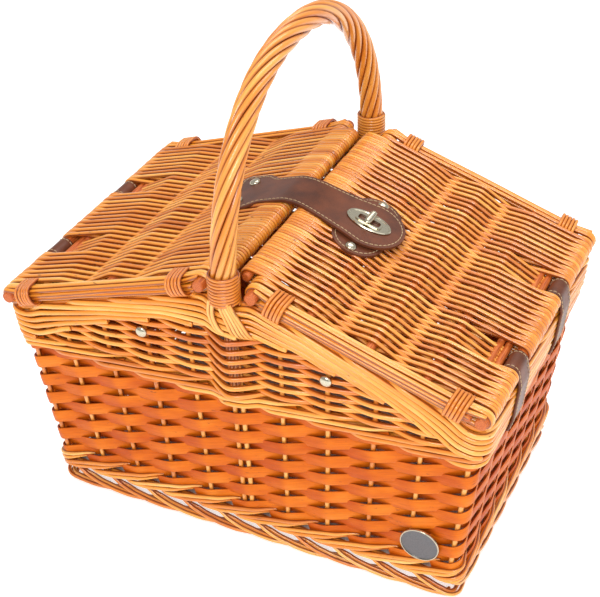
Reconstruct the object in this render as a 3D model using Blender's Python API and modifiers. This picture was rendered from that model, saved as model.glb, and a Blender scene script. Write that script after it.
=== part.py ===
"""Two-lid willow hamper with a fixed bow handle, modelled as an assembly of separate pieces.

Frame: X along the hamper's length, -Y is the front, +Z up, origin at the middle of the footprint.
Metres throughout. Run with: blender --background --python part.py
"""
import math

import bmesh
import bpy
from mathutils import Matrix, Vector

# ---------------------------------------------------------------- driving dimensions
GAP = 0.0003                      # clearance between touching pieces

BOTTOM_HALF_LENGTH = 0.195
BOTTOM_HALF_WIDTH = 0.125
END_LEAN = 0.112                  # outward run of the end walls per unit of height
SIDE_LEAN = 0.0745                # outward run of the long walls per unit of height
CORNER_RADIUS = 0.011

FOOT_TOP = 0.0217
FOOT_THICKNESS = 0.010
LOWER_WALE = (0.0220, 0.0400)
WALL = (0.0407, 0.1604)
UPPER_WALE = (0.1610, 0.1719)
WALL_THICKNESS = 0.008
WALE_THICKNESS = 0.011
WALE_PROUD = 0.0015               # how far the waling stands out from the wall
FLOOR = (0.0225, 0.0275)

RIM_BOTTOM = 0.1725
RIM_CORNER_TOP = 0.2045
RIM_PEAK = 0.2690
RIM_THICKNESS = 0.013
RIM_PROUD = 0.0035
RIM_LOW_EDGE = [(0.0, 0.2380), (0.060, 0.2335), (0.120, 0.2135), (0.165, 0.1920), (0.1870, 0.1770)]

HINGE_X = 0.214                   # outer stick of each lid, the axis the lid swings on
HINGE_Z = 0.2165
RIDGE_X = 0.023                   # inner stick of each lid
RIDGE_Z = 0.280
STICK_RADIUS = 0.0051
END_STICK_HALF = 0.1475
RIDGE_STICK_HALF = 0.150
EDGE_FROM_RIDGE = 0.0130          # second, shorter stick that the lid's rods turn back round
EDGE_STICK_RADIUS = 0.0046
EDGE_STICK_HALF = 0.1290
EDGE_WRAP_RADIUS = 0.0070
EDGE_HALF_WIDTH = 0.1280
STAKE_RADIUS = 0.0030
STAKE_HALF = 0.136
STAKE_FROM_RIDGE = (0.046, 0.0985, 0.149)
WRAP_RADIUS = 0.0076
WEAVE_HALF_WIDTH = 0.133
WEAVE_HALF_THICKNESS = 0.0065
RAIL = (0.1365, 0.1500)
RAIL_HALF_THICKNESS = 0.0055
LASHING_THICKNESS = 0.0029
LASHING_WIDTH = 0.015
LASHING_FROM_RIDGE = 0.021
LASHING_FROM_END = 0.022

STRAP_Y = (-0.066, 0.048)         # the two hinge loops of each lid
STRAP_WIDTH = 0.025
STRAP_THICKNESS = 0.0022

HANDLE_FOOT_Y = 0.1486
HANDLE_FOOT_Z = 0.280
HANDLE_RISE = 0.162
HANDLE_LEAN = -0.004              # the bow leans a little towards -X at its top
BOW_FULLNESS = 0.91               # 1 bends the bow to a half ellipse; less gives it fuller shoulders
HANDLE_RADIUS = 0.0106
LEG_RADIUS = 0.0065
LEG_BOTTOM_Z = 0.178
SHOULDER_Z = 0.2694                # the leg widens to the full bow just above the rim
BINDING = (0.2706, 0.2990)
BINDING_INNER = 0.0116
BINDING_OUTER = 0.0131

STUD_X = 0.084
STUD_Z = 0.215
STUD_RADIUS = 0.0060
SHANK_RADIUS = 0.0018

BADGE_X = 0.163
BADGE_Z = 0.059
BADGE_RADIUS = 0.0175
BADGE_THICKNESS = 0.0016

LEATHER = 0.0025
STRAP_BASE_LEVEL = 0.0079         # underside of the latch strap over the left lid's weave
TONGUE_LEVEL = 0.0110             # underside of the latch strap over the lock
HINGE_BREAK = 0.0015              # the strap's flexing line is split here between its two bodies
LOCK_FROM_RIDGE = 0.0378
STRAP_MID_Y = -0.0015             # middle of the strap on the left lid
LOCK_Y = -0.0075                  # middle of the lock, as the strap lies a little askew
TAB_FROM_RIDGE = (0.014, 0.047)
TAB_HALF_WIDTH = 0.031
NECK_HALF_WIDTH = 0.0225
TIP_RADIUS = 0.0300
TIP_REACH = 0.0705
LATCH_RIVET_V = 0.017
LATCH_RIVET_FROM_RIDGE = 0.030
PAD_HALF_U = 0.023
PAD_HALF_V = 0.042
PAD_RIVET_V = 0.035
RIVET_RADIUS = 0.0050
SLOT_HALF = (0.0105, 0.0040)
PLATE_HALF = (0.0205, 0.0115)
PLATE_THICKNESS = 0.0014
POST_RADIUS = 0.0028
POST_FLANGE_RADIUS = 0.0090
KNOB_SIZE = (0.0062, 0.0190, 0.0045)

LID_TILT = math.atan2(RIDGE_Z - HINGE_Z, HINGE_X - RIDGE_X)
LID_SPAN = math.hypot(RIDGE_Z - HINGE_Z, HINGE_X - RIDGE_X)
EDGE_SPAN = LID_SPAN + EDGE_FROM_RIDGE
EDGE_BRIDGE = 0.0060              # half thickness of the weave between ridge and edge sticks

PARTS = "willow_hamper"
CUTTERS = "cutters"


# ---------------------------------------------------------------- scene helpers
def clear_scene():
    for obj in list(bpy.data.objects):
        bpy.data.objects.remove(obj, do_unlink=True)
    for name in (PARTS, CUTTERS):
        bpy.context.scene.collection.children.link(bpy.data.collections.new(name))


def material(name, colour, roughness, metallic=0.0):
    mat = bpy.data.materials.new(name)
    mat.use_nodes = True
    shader = mat.node_tree.nodes["Principled BSDF"]
    shader.inputs["Base Color"].default_value = (*colour, 1.0)
    shader.inputs["Roughness"].default_value = roughness
    shader.inputs["Metallic"].default_value = metallic
    return mat


def move_to(obj, collection):
    for old in list(obj.users_collection):
        old.objects.unlink(obj)
    bpy.data.collections[collection].objects.link(obj)


def finish(obj, name, mat):
    obj.name = name
    obj.data.name = name
    own = mat.copy()
    own.name = name
    obj.data.materials.clear()
    obj.data.materials.append(own)
    move_to(obj, PARTS)
    return obj


def as_cutter(obj, name):
    obj.name = name
    obj.hide_render = True
    obj.display_type = "WIRE"
    move_to(obj, CUTTERS)
    return obj


def boolean(obj, tool, operation):
    mod = obj.modifiers.new(operation.title(), "BOOLEAN")
    mod.operation = operation
    mod.solver = "EXACT"
    mod.object = tool
    return obj


def mesh_object(name, bm):
    mesh = bpy.data.meshes.new(name)
    bm.to_mesh(mesh)
    bm.free()
    obj = bpy.data.objects.new(name, mesh)
    bpy.context.scene.collection.objects.link(obj)
    return obj


def empty(name, location, rotation=(0.0, 0.0, 0.0), parent=None):
    pivot = bpy.data.objects.new(name, None)
    pivot.empty_display_size = 0.03
    pivot.location = location
    pivot.rotation_euler = rotation
    pivot.parent = parent
    bpy.data.collections[PARTS].objects.link(pivot)
    return pivot


# ---------------------------------------------------------------- shape helpers
def box(low, high, bevel=0.0):
    bm = bmesh.new()
    size = Vector(high) - Vector(low)
    middle = (Vector(high) + Vector(low)) / 2
    place = Matrix.Translation(middle) @ Matrix.Diagonal((*size, 1.0))
    bmesh.ops.create_cube(bm, size=1.0, matrix=place)
    obj = mesh_object("box", bm)
    if bevel:
        mod = obj.modifiers.new("Bevel", "BEVEL")
        mod.width = bevel
        mod.segments = 2
    return obj


def add_rod(bm, centre, radius, half_length, sides):
    """A cylinder along Y, added to an open bmesh."""
    turn = Matrix.Rotation(math.pi / 2, 4, "X")
    bmesh.ops.create_cone(
        bm, cap_ends=True, segments=sides, radius1=radius, radius2=radius,
        depth=2 * half_length, matrix=Matrix.Translation(centre) @ turn)


def rods(places, half_length, sides=16):
    bm = bmesh.new()
    for centre, radius in places:
        add_rod(bm, centre, radius, half_length, sides)
    obj = mesh_object("rods", bm)
    obj.data.shade_smooth()
    obj.data.set_sharp_from_angle(angle=math.radians(40))
    return obj


def turned(profile, steps=14):
    """A solid of revolution about Z; the profile's first and last points are on the axis."""
    bm = bmesh.new()
    verts = [bm.verts.new((radius, 0.0, height)) for radius, height in profile]
    for a, b in zip(verts, verts[1:]):
        bm.edges.new((a, b))
    obj = mesh_object("turned", bm)
    mod = obj.modifiers.new("Screw", "SCREW")
    mod.axis = "Z"
    mod.steps = steps
    mod.render_steps = steps
    mod.use_merge_vertices = True
    mod.merge_threshold = 0.00001
    return obj


def flat_plate(outlines, thickness):
    """A flat plate from closed outlines in its own XY plane; later outlines are holes."""
    curve = bpy.data.curves.new("plate", "CURVE")
    curve.dimensions = "2D"
    curve.fill_mode = "BOTH"
    curve.extrude = thickness / 2
    for outline in outlines:
        spline = curve.splines.new("POLY")
        spline.points.add(len(outline) - 1)
        for point, (x, y) in zip(spline.points, outline):
            point.co = (x, y, 0.0, 1.0)
        spline.use_cyclic_u = True
    obj = bpy.data.objects.new("plate", curve)
    bpy.context.scene.collection.objects.link(obj)
    return obj


def to_mesh(obj):
    """Replaces a curve object by its evaluated mesh with welded caps."""
    bpy.context.view_layer.update()
    evaluated = obj.evaluated_get(bpy.context.evaluated_depsgraph_get())
    mesh = bpy.data.meshes.new_from_object(evaluated)
    bm = bmesh.new()
    bm.from_mesh(mesh)
    bmesh.ops.remove_doubles(bm, verts=bm.verts, dist=0.00001)
    bmesh.ops.recalc_face_normals(bm, faces=bm.faces)
    bm.to_mesh(mesh)
    bm.free()
    solid = bpy.data.objects.new("solid", mesh)
    bpy.context.scene.collection.objects.link(solid)
    solid.matrix_world = obj.matrix_world.copy()
    bpy.data.objects.remove(obj, do_unlink=True)
    return solid


def shell(columns, thickness, closed=False):
    """Solidified open surface; each column is a list of points from bottom to top.

    The columns run anticlockwise seen from above, so the surface faces out and thickens inward.
    """
    bm = bmesh.new()
    grid = [[bm.verts.new(point) for point in column] for column in columns]
    pairs = list(zip(grid, grid[1:]))
    if closed:
        pairs.append((grid[-1], grid[0]))
    for left, right in pairs:
        for row in range(len(left) - 1):
            bm.faces.new((left[row], right[row], right[row + 1], left[row + 1]))
    obj = mesh_object("shell", bm)
    mod = obj.modifiers.new("Solidify", "SOLIDIFY")
    mod.thickness = thickness
    mod.offset = -1.0
    mod.use_even_offset = True
    return obj


def half_length(z):
    return BOTTOM_HALF_LENGTH + END_LEAN * z


def half_width(z):
    return BOTTOM_HALF_WIDTH + SIDE_LEAN * z


def corner_arc(cx, cy, radius, start, steps):
    """Points of a quarter circle, anticlockwise from the start angle in degrees."""
    turn = [math.radians(start + 90.0 * k / steps) for k in range(steps + 1)]
    return [(cx + radius * math.cos(t), cy + radius * math.sin(t)) for t in turn]


def ring_outline(hx, hy, radius, steps=5):
    """A rounded rectangle, anticlockwise, starting on the front edge's right end."""
    points = corner_arc(hx - radius, -(hy - radius), radius, -90.0, steps)
    points += corner_arc(hx - radius, hy - radius, radius, 0.0, steps)
    points += corner_arc(-(hx - radius), hy - radius, radius, 90.0, steps)
    points += corner_arc(-(hx - radius), -(hy - radius), radius, 180.0, steps)
    return points


def ring_columns(heights, proud, lean=True):
    """Columns of a closed band around the hamper at the given heights."""
    rings = []
    for z in heights:
        level = z if lean else 0.0
        hx, hy = half_length(level) + proud, half_width(level) + proud
        rings.append([(x, y, z) for x, y in ring_outline(hx, hy, CORNER_RADIUS + proud)])
    return [list(column) for column in zip(*rings)]


def end_columns(side, heights, proud):
    """Columns of an end band with both of its corners; side is +1 at +X and -1 at -X."""
    stub = 0.002
    rings = []
    for z in heights:
        radius = CORNER_RADIUS + proud
        cx, cy = half_length(z) + proud - radius, half_width(z) + proud - radius
        points = [(cx - stub, -(cy + radius))]
        points += corner_arc(cx, -cy, radius, -90.0, 5)
        points += corner_arc(cx, cy, radius, 0.0, 5)
        points += [(cx - stub, cy + radius)]
        rings.append([(side * x, side * y, z) for x, y in points])
    return [list(column) for column in zip(*rings)]


def side_point(side, x, z, proud):
    """A point of a long wall's outer face; side is -1 at the front and +1 at the back.

    x counts anticlockwise round the hamper, so it is mirrored at the back.
    """
    return (-side * x, side * (half_width(z) + proud), z)


def side_end(z):
    """Where a long wall's straight stretch ends, a gap short of the end band's stub."""
    return half_length(z) - CORNER_RADIUS - 0.002 - GAP


# ---------------------------------------------------------------- body of the hamper
def base_floor(mat):
    proud = WALE_PROUD - WALE_THICKNESS - GAP
    hx, hy = half_length(FLOOR[0]) + proud, half_width(FLOOR[0]) + proud
    outline = ring_outline(hx, hy, CORNER_RADIUS + proud)
    plate = flat_plate([outline], FLOOR[1] - FLOOR[0])
    plate.location.z = (FLOOR[0] + FLOOR[1]) / 2
    finish(plate, "base_floor", mat)


def foot_border(mat):
    """Ring on the ground that lifts the floor clear of it."""
    columns = ring_columns((0.0, FOOT_TOP), 0.0, lean=False)
    finish(shell(columns, FOOT_THICKNESS, closed=True), "foot_border", mat)


def band(name, heights, proud, thickness, mat):
    finish(shell(ring_columns(heights, proud), thickness, closed=True), name, mat)


def strap_slots(name, side):
    """Cutter for the two slots at the top of one end that the hinge loops pass through."""
    bm = bmesh.new()
    for y in STRAP_Y:
        low = Vector((0.185, y - STRAP_WIDTH / 2 - GAP, WALL[1] - 0.0036))
        high = Vector((0.235, y + STRAP_WIDTH / 2 + GAP, WALL[1] + 0.004))
        middle = (low + high) / 2
        middle.x *= side
        place = Matrix.Translation(middle) @ Matrix.Diagonal((*(high - low), 1.0))
        bmesh.ops.create_cube(bm, size=1.0, matrix=place)
    return as_cutter(mesh_object(name, bm), name)


def wall_weave(mat):
    """The woven wall, one band that runs all the way round the hamper."""
    wall = shell(ring_columns(WALL, 0.0), WALL_THICKNESS, closed=True)
    for label, side in (("left", -1), ("right", 1)):
        boolean(wall, strap_slots(f"strap_slots_{label}", side), "DIFFERENCE")
    finish(wall, "wall_weave", mat)


def rim_low(x):
    """Lower edge of the long rims, which is the upper edge of the gable weave."""
    for (x0, z0), (x1, z1) in zip(RIM_LOW_EDGE, RIM_LOW_EDGE[1:]):
        if x <= x1:
            return z0 + (z1 - z0) * (x - x0) / (x1 - x0)
    return RIM_LOW_EDGE[-1][1]


def rim_high(x):
    """Upper edge of the long rims, flat beside the handle and falling to the corners."""
    fall = (RIM_PEAK - RIM_CORNER_TOP) / (0.205 - RIDGE_X)
    return RIM_PEAK - fall * max(0.0, x - RIDGE_X)


def across(inner_stations, last):
    """Stations from one end of a long side to the other, symmetric about its middle."""
    reach = [*inner_stations, last]
    return [-x for x in reach[:0:-1]] + reach


def gable(name, side, mat, handle_cutter, stud_cutter):
    stations = across((0.0, 0.030, 0.060, 0.090, 0.120, 0.145, 0.165), side_end(RIM_BOTTOM))
    columns = [[side_point(side, x, z, 0.0) for z in (RIM_BOTTOM, rim_low(abs(x)) - GAP)]
               for x in stations]
    piece = shell(columns, WALL_THICKNESS)
    boolean(piece, handle_cutter, "DIFFERENCE")
    boolean(piece, stud_cutter, "DIFFERENCE")
    finish(piece, name, mat)


def long_rim(name, side, mat, handle_cutter):
    last = side_end(RIM_LOW_EDGE[-1][1])
    stations = across((0.0, RIDGE_X, 0.060, 0.090, 0.120, 0.145, 0.165), last)
    columns = [[side_point(side, x, z, RIM_PROUD) for z in (rim_low(abs(x)), rim_high(abs(x)))]
               for x in stations]
    piece = shell(columns, RIM_THICKNESS)
    boolean(piece, handle_cutter, "DIFFERENCE")
    finish(piece, name, mat)


def end_rim(name, side, mat):
    columns = end_columns(side, (RIM_BOTTOM, RIM_CORNER_TOP), RIM_PROUD)
    finish(shell(columns, RIM_THICKNESS), name, mat)


# ---------------------------------------------------------------- handle
def bow_point(turn):
    """The bow's centre line; turn runs from 0 at the front foot to pi at the back foot."""
    across, up = math.cos(turn), max(math.sin(turn), 0.0)
    y = -HANDLE_FOOT_Y * math.copysign(abs(across) ** BOW_FULLNESS, across)
    return (HANDLE_LEAN * up ** 2, y, HANDLE_FOOT_Z + HANDLE_RISE * up ** BOW_FULLNESS)


def leg_point(side, z):
    """Centre line of the bow's leg, which runs down in the gable weave."""
    bottom = half_width(LEG_BOTTOM_Z) + 0.0025
    t = (z - LEG_BOTTOM_Z) / (HANDLE_FOOT_Z - LEG_BOTTOM_Z)
    return (0.0, side * (bottom + (HANDLE_FOOT_Y - bottom) * t), z)


def bow_stations(clearance):
    """Points and radii along the bow, from the front leg's foot over the top to the back one's."""
    legs = [(LEG_BOTTOM_Z - clearance, LEG_RADIUS), (SHOULDER_Z - 0.0002, LEG_RADIUS),
            (SHOULDER_Z + 0.0004, HANDLE_RADIUS)]
    front = [(leg_point(-1, z), r) for z, r in legs]
    back = [(leg_point(1, z), r) for z, r in reversed(legs)]
    steps = 32
    arch = [(bow_point(math.pi * k / steps), HANDLE_RADIUS) for k in range(steps + 1)]
    return [(point, r + clearance) for point, r in front + arch + back]


def bow_tube(clearance=0.0):
    stations = bow_stations(clearance)
    curve = bpy.data.curves.new("bow", "CURVE")
    curve.dimensions = "3D"
    curve.bevel_depth = 1.0
    curve.bevel_resolution = 3
    curve.use_fill_caps = True
    spline = curve.splines.new("POLY")
    spline.points.add(len(stations) - 1)
    for place, (point, radius) in zip(spline.points, stations):
        place.co = (*point, 1.0)
        place.radius = radius
    obj = bpy.data.objects.new("bow", curve)
    bpy.context.scene.collection.objects.link(obj)
    return obj


def handle_bow(mat):
    finish(bow_tube(), "handle_bow", mat)


def bow_at_height(side, z):
    if z < HANDLE_FOOT_Z:
        return Vector(leg_point(side, z))
    turn = math.asin(((z - HANDLE_FOOT_Z) / HANDLE_RISE) ** (1 / BOW_FULLNESS))
    return Vector(bow_point(turn if side < 0 else math.pi - turn))


def handle_binding(name, side, mat):
    """Tight collar of cane round the bow, just above the rim."""
    low, high = (bow_at_height(side, z) for z in BINDING)
    half = (BINDING[1] - BINDING[0]) / 2
    steps = 20
    columns = []
    for k in range(steps):
        angle = 2 * math.pi * k / steps
        cx, cy = BINDING_OUTER * math.cos(angle), BINDING_OUTER * math.sin(angle)
        columns.append([(cx, cy, -half), (cx, cy, half)])
    collar = shell(columns, BINDING_OUTER - BINDING_INNER, closed=True)
    middle = bow_at_height(side, sum(BINDING) / 2)
    collar.location = (low + high + 4 * middle) / 6
    collar.rotation_mode = "QUATERNION"
    collar.rotation_quaternion = (high - low).to_track_quat("Z", "Y")
    finish(collar, name, mat)


# ---------------------------------------------------------------- small metal pieces
def stud_profile():
    """Outer dome, shank through the weave and inner burr; +Z points out of the weave."""
    inner = -(WALL_THICKNESS + GAP)
    dome = [(STUD_RADIUS * math.sin(t), GAP + 0.0042 * math.cos(t))
            for t in (math.radians(15 * k) for k in range(7))]
    return dome + [(SHANK_RADIUS, GAP), (SHANK_RADIUS, inner), (0.0045, inner),
                   (0.0045, inner - 0.0012), (0.0, inner - 0.0012)]


def rivet_profile(length):
    """Dome and plain shank; +Z points out of the leather."""
    dome = [(RIVET_RADIUS * math.sin(t), GAP + 0.0036 * math.cos(t))
            for t in (math.radians(18 * k) for k in range(6))]
    return dome + [(SHANK_RADIUS, GAP), (SHANK_RADIUS, -length), (0.0, -length)]


def out_of_side(side):
    """Rotation that takes +Z to a long wall's outward normal."""
    lean = math.atan(SIDE_LEAN)
    return (-side * (math.pi / 2 + lean), 0.0, 0.0)


def wall_stud(name, side, x, mat):
    stud = turned(stud_profile())
    stud.location = (x, side * half_width(STUD_Z), STUD_Z)
    stud.rotation_euler = out_of_side(side)
    finish(stud, name, mat)


def stud_holes(name, side):
    bm = bmesh.new()
    for x in (-STUD_X, STUD_X):
        add_rod(bm, (x, side * half_width(STUD_Z), STUD_Z), SHANK_RADIUS + 0.0012, 0.03, 12)
    return as_cutter(mesh_object(name, bm), name)


def badge_plate(mat):
    """Plain round plate on the front wall."""
    rim = [(0.0, BADGE_THICKNESS), (BADGE_RADIUS - 0.0006, BADGE_THICKNESS),
           (BADGE_RADIUS, BADGE_THICKNESS - 0.0006), (BADGE_RADIUS, 0.0), (0.0, 0.0)]
    badge = turned(rim, steps=32)
    normal = Vector((0.0, -1.0, -SIDE_LEAN)).normalized()
    badge.location = Vector((BADGE_X, -half_width(BADGE_Z), BADGE_Z)) + normal * GAP
    badge.rotation_euler = out_of_side(-1)
    finish(badge, "badge_plate", mat)


# ---------------------------------------------------------------- hinge loops
def hinge_core():
    """Section, as (x, z), of what a hinge loop holds together: the lid's stick and the rim."""
    section = []
    for k in range(16):
        angle = 2 * math.pi * k / 16
        section.append((HINGE_X + STICK_RADIUS * math.cos(angle),
                        HINGE_Z + STICK_RADIUS * math.sin(angle)))
    bands = [(RIM_CORNER_TOP, RIM_PROUD, RIM_THICKNESS), (RIM_BOTTOM, RIM_PROUD, RIM_THICKNESS),
             (UPPER_WALE[0], WALE_PROUD, WALE_THICKNESS)]
    for z, proud, thickness in bands:
        outer = half_length(z) + proud
        section += [(outer, z), (outer - thickness - 0.0003, z + thickness * END_LEAN)]
    return section


def loop_around(section, clearance, steps=32):
    """Outline that stays the clearance away from the section's convex hull."""
    outline = []
    for k in range(steps):
        angle = 2 * math.pi * k / steps
        ux, uz = math.cos(angle), math.sin(angle)
        far = max(section, key=lambda p: p[0] * ux + p[1] * uz)
        outline.append((far[0] + clearance * ux, far[1] + clearance * uz))
    return outline


def hinge_strap(name, side, y, mat):
    """Closed leather loop round the lid's outer stick and the rim, through the wall's slot."""
    core = hinge_core()
    inner = loop_around(core, GAP)
    outer = loop_around(core, GAP + STRAP_THICKNESS)
    loop = flat_plate([outer, inner], STRAP_WIDTH)
    turn = Matrix.Rotation(math.pi / 2, 4, "X")
    mirror = Matrix.Rotation(math.pi, 4, "Z") if side < 0 else Matrix.Identity(4)
    loop.matrix_world = Matrix.Translation((0.0, y, 0.0)) @ mirror @ turn
    finish(loop, name, mat)


# ---------------------------------------------------------------- lids
def lid_pivot(name, side):
    """Empty on a lid's hinge axis; its X runs to the ridge and its Z out of the lid."""
    turn = (0.0, -LID_TILT, 0.0 if side < 0 else math.pi)
    return empty(name, (side * HINGE_X, 0.0, HINGE_Z), turn)


def hang(obj, pivot, name, mat):
    finish(obj, name, mat)
    obj.parent = pivot
    return obj


def lid_weave(prefix, side, pivot, mat):
    """Woven panel that wraps round its end and edge sticks, cut away where the hinge loops are."""
    inset = 0.002
    weave = box((inset, -WEAVE_HALF_WIDTH + GAP, -WEAVE_HALF_THICKNESS),
                (LID_SPAN - inset, WEAVE_HALF_WIDTH - GAP, WEAVE_HALF_THICKNESS))
    ends = ((0.0, 0.0, 0.0), (LID_SPAN, 0.0, 0.0))
    edge = (EDGE_SPAN, 0.0, 0.0)
    wraps = rods([(e, WRAP_RADIUS) for e in ends], WEAVE_HALF_WIDTH)
    bridge = box((LID_SPAN, -EDGE_HALF_WIDTH, -EDGE_BRIDGE), (EDGE_SPAN, EDGE_HALF_WIDTH, EDGE_BRIDGE))
    edge_wrap = rods([(edge, EDGE_WRAP_RADIUS)], EDGE_HALF_WIDTH - 0.0003)
    holes = [(e, STICK_RADIUS + GAP) for e in ends] + [(edge, EDGE_STICK_RADIUS + GAP)]
    holes += [((LID_SPAN - u, 0.0, 0.0), STAKE_RADIUS + GAP) for u in STAKE_FROM_RIDGE]
    bores = rods(holes, WEAVE_HALF_WIDTH + 0.01)
    notches = bmesh.new()
    for y in STRAP_Y:
        middle = (0.0005, -side * y, 0.0)
        size = (0.019, STRAP_WIDTH + 0.002, 0.020)
        place = Matrix.Translation(middle) @ Matrix.Diagonal((*size, 1.0))
        bmesh.ops.create_cube(notches, size=1.0, matrix=place)
    tools = (("wraps", wraps, "UNION"), ("bridge", bridge, "UNION"),
             ("edge_wrap", edge_wrap, "UNION"), ("bores", bores, "DIFFERENCE"),
             ("notches", mesh_object("notches", notches), "DIFFERENCE"))
    for label, tool, operation in tools:
        as_cutter(tool, prefix + "_" + label)
        tool.parent = pivot
        boolean(weave, tool, operation)
    hang(weave, pivot, prefix + "_weave", mat)


def lid_sticks(prefix, pivot, mat):
    end = rods([((0.0, 0.0, 0.0), STICK_RADIUS)], END_STICK_HALF)
    hang(end, pivot, prefix + "_end_stick", mat)
    ridge = rods([((LID_SPAN, 0.0, 0.0), STICK_RADIUS)], RIDGE_STICK_HALF)
    hang(ridge, pivot, prefix + "_ridge_stick", mat)
    edge = rods([((EDGE_SPAN, 0.0, 0.0), EDGE_STICK_RADIUS)], EDGE_STICK_HALF)
    hang(edge, pivot, prefix + "_edge_stick", mat)
    for number, u in enumerate(STAKE_FROM_RIDGE, 1):
        stake = rods([((LID_SPAN - u, 0.0, 0.0), STAKE_RADIUS)], STAKE_HALF, sides=12)
        hang(stake, pivot, f"{prefix}_stake_{number}", mat)


def lid_rail(name, toward, pivot, mat):
    """Bundle of rods along a lid's long edge; toward is the sign of its place on local Y."""
    low, high = sorted((toward * RAIL[0], toward * RAIL[1]))
    clear = WRAP_RADIUS + 0.0006
    rail = box((clear, low, -RAIL_HALF_THICKNESS), (LID_SPAN - clear, high, RAIL_HALF_THICKNESS),
               bevel=0.003)
    hang(rail, pivot, name, mat)


def lashing(name, u, toward, pivot, mat):
    """Four turns of rod round the rail, as one rectangular ring."""
    low, high = sorted((toward * RAIL[0], toward * RAIL[1]))
    rings = []
    for grow in (GAP + LASHING_THICKNESS, GAP):
        a, b, h = low - grow, high + grow, RAIL_HALF_THICKNESS + grow
        rings.append([(a, -h), (b, -h), (b, h), (a, h)])
    ring = flat_plate(rings, LASHING_WIDTH)
    hang(ring, pivot, name, mat)
    ring.location = (u, 0.0, 0.0)
    ring.rotation_euler = (math.pi / 2, 0.0, math.pi / 2)


def lid(prefix, side, mats):
    pivot = lid_pivot(prefix + "_hinge", side)
    lid_weave(prefix, side, pivot, mats["willow"])
    lid_sticks(prefix, pivot, mats["stick"])
    for label, world in (("front", -1), ("back", 1)):
        toward = -side * world
        lid_rail(f"{prefix}_{label}_rail", toward, pivot, mats["willow"])
        places = (("ridge", LID_SPAN - LASHING_FROM_RIDGE), ("end", LASHING_FROM_END))
        for place, u in places:
            lashing(f"{prefix}_{label}_{place}_lashing", u, toward, pivot, mats["willow"])
    return pivot


# ---------------------------------------------------------------- latch
def holes_at(name, places, radius, pivot):
    bm = bmesh.new()
    for x, y in places:
        bmesh.ops.create_cone(bm, cap_ends=True, segments=16, radius1=radius, radius2=radius,
                              depth=0.04, matrix=Matrix.Translation((x, y, STRAP_BASE_LEVEL)))
    cutter = as_cutter(mesh_object(name, bm), name)
    cutter.parent = pivot
    return cutter


def latch_base(pivot, mat, metal):
    """The latch strap's riveted end on the left lid."""
    tab_start, tab_end = LID_SPAN - TAB_FROM_RIDGE[1], LID_SPAN - TAB_FROM_RIDGE[0]
    w, n = TAB_HALF_WIDTH, NECK_HALF_WIDTH
    right = [(tab_start, w - 0.006), (tab_start + 0.006, w), (tab_end - 0.008, w),
             (tab_end, w - 0.006), (tab_end + 0.006, n + 0.002), (EDGE_SPAN - HINGE_BREAK, n)]
    outline = [(x, STRAP_MID_Y - y) for x, y in right]
    outline += [(x, STRAP_MID_Y + y) for x, y in right[::-1]]
    base = flat_plate([outline], LEATHER)
    base.location.z = STRAP_BASE_LEVEL + LEATHER / 2
    base = to_mesh(base)
    x = LID_SPAN - LATCH_RIVET_FROM_RIDGE
    places = [(x, STRAP_MID_Y - LATCH_RIVET_V), (x, STRAP_MID_Y + LATCH_RIVET_V)]
    boolean(base, holes_at("latch_base_holes", places, SHANK_RADIUS + GAP, pivot), "DIFFERENCE")
    hang(base, pivot, "latch_strap_base", mat)
    for label, (x, y) in zip(("front", "back"), places):
        rivet = turned(rivet_profile(LEATHER))
        rivet.location = (x, y, STRAP_BASE_LEVEL + LEATHER)
        hang(rivet, pivot, f"latch_rivet_{label}", metal)


def lid_place(side, u, w):
    """World x and z of a point u from a lid's hinge along it and w above its middle plane."""
    x = HINGE_X - u * math.cos(LID_TILT) + w * math.sin(LID_TILT)
    return side * x, HINGE_Z + u * math.sin(LID_TILT) + w * math.cos(LID_TILT)


def tongue_path():
    """Top face of the tongue as (x, middle y, z, half width) from the bend to its round tip."""
    top = TONGUE_LEVEL + LEATHER
    n, mid, lean = NECK_HALF_WIDTH, STRAP_MID_Y, (LOCK_Y - STRAP_MID_Y) / 4
    x0, z0 = lid_place(-1, EDGE_SPAN + GAP, STRAP_BASE_LEVEL + LEATHER)
    x1, z1 = lid_place(1, EDGE_SPAN, EDGE_WRAP_RADIUS + LEATHER + 2 * GAP)
    path = [(x0, mid, z0, n), (x0 + 0.0075, mid, z0 + 0.0015, n), (x1 - 0.0100, mid, z1 + 0.0013, n),
            (x1, mid + lean, z1, n + 0.0005)]
    centre = TIP_REACH - TIP_RADIUS
    x, z = lid_place(1, LID_SPAN - centre / 2, top)
    path.append((x, mid + 3 * lean, z, 0.0265))
    for k in range(0, 7):
        angle = math.radians(13 * k)
        reach = centre + TIP_RADIUS * math.sin(angle)
        x, z = lid_place(1, LID_SPAN - reach, top)
        path.append((x, LOCK_Y, z, TIP_RADIUS * math.cos(angle)))
    return path


def latch_tongue(pivot, mat):
    """The free end of the latch strap, bent over the ridge, with a slot for the lock."""
    origin = pivot.matrix_world.translation
    columns = []
    for x, mid, z, half in tongue_path():
        columns.append([(x - origin.x, mid + y * half, z - origin.z)
                        for y in (-1.0, -0.35, 0.35, 1.0)])
    tongue = shell(columns, LEATHER)
    bm = bmesh.new()
    cx, cz = lid_place(1, LID_SPAN - LOCK_FROM_RIDGE, TONGUE_LEVEL)
    place = (Matrix.Translation((cx - origin.x, LOCK_Y, cz - origin.z))
             @ Matrix.Rotation(LID_TILT, 4, "Y")
             @ Matrix.Diagonal((2 * SLOT_HALF[0], 2 * SLOT_HALF[1], 0.02, 1.0)))
    bmesh.ops.create_cube(bm, size=1.0, matrix=place)
    slot = as_cutter(mesh_object("tongue_slot", bm), "tongue_slot")
    slot.parent = pivot
    boolean(tongue, slot, "DIFFERENCE")
    hang(tongue, pivot, "latch_strap_tongue", mat)


def oval(half_x, half_y, steps=32):
    turns = [2 * math.pi * k / steps for k in range(steps)]
    return [(half_x * math.cos(t), half_y * math.sin(t)) for t in turns]


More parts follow.
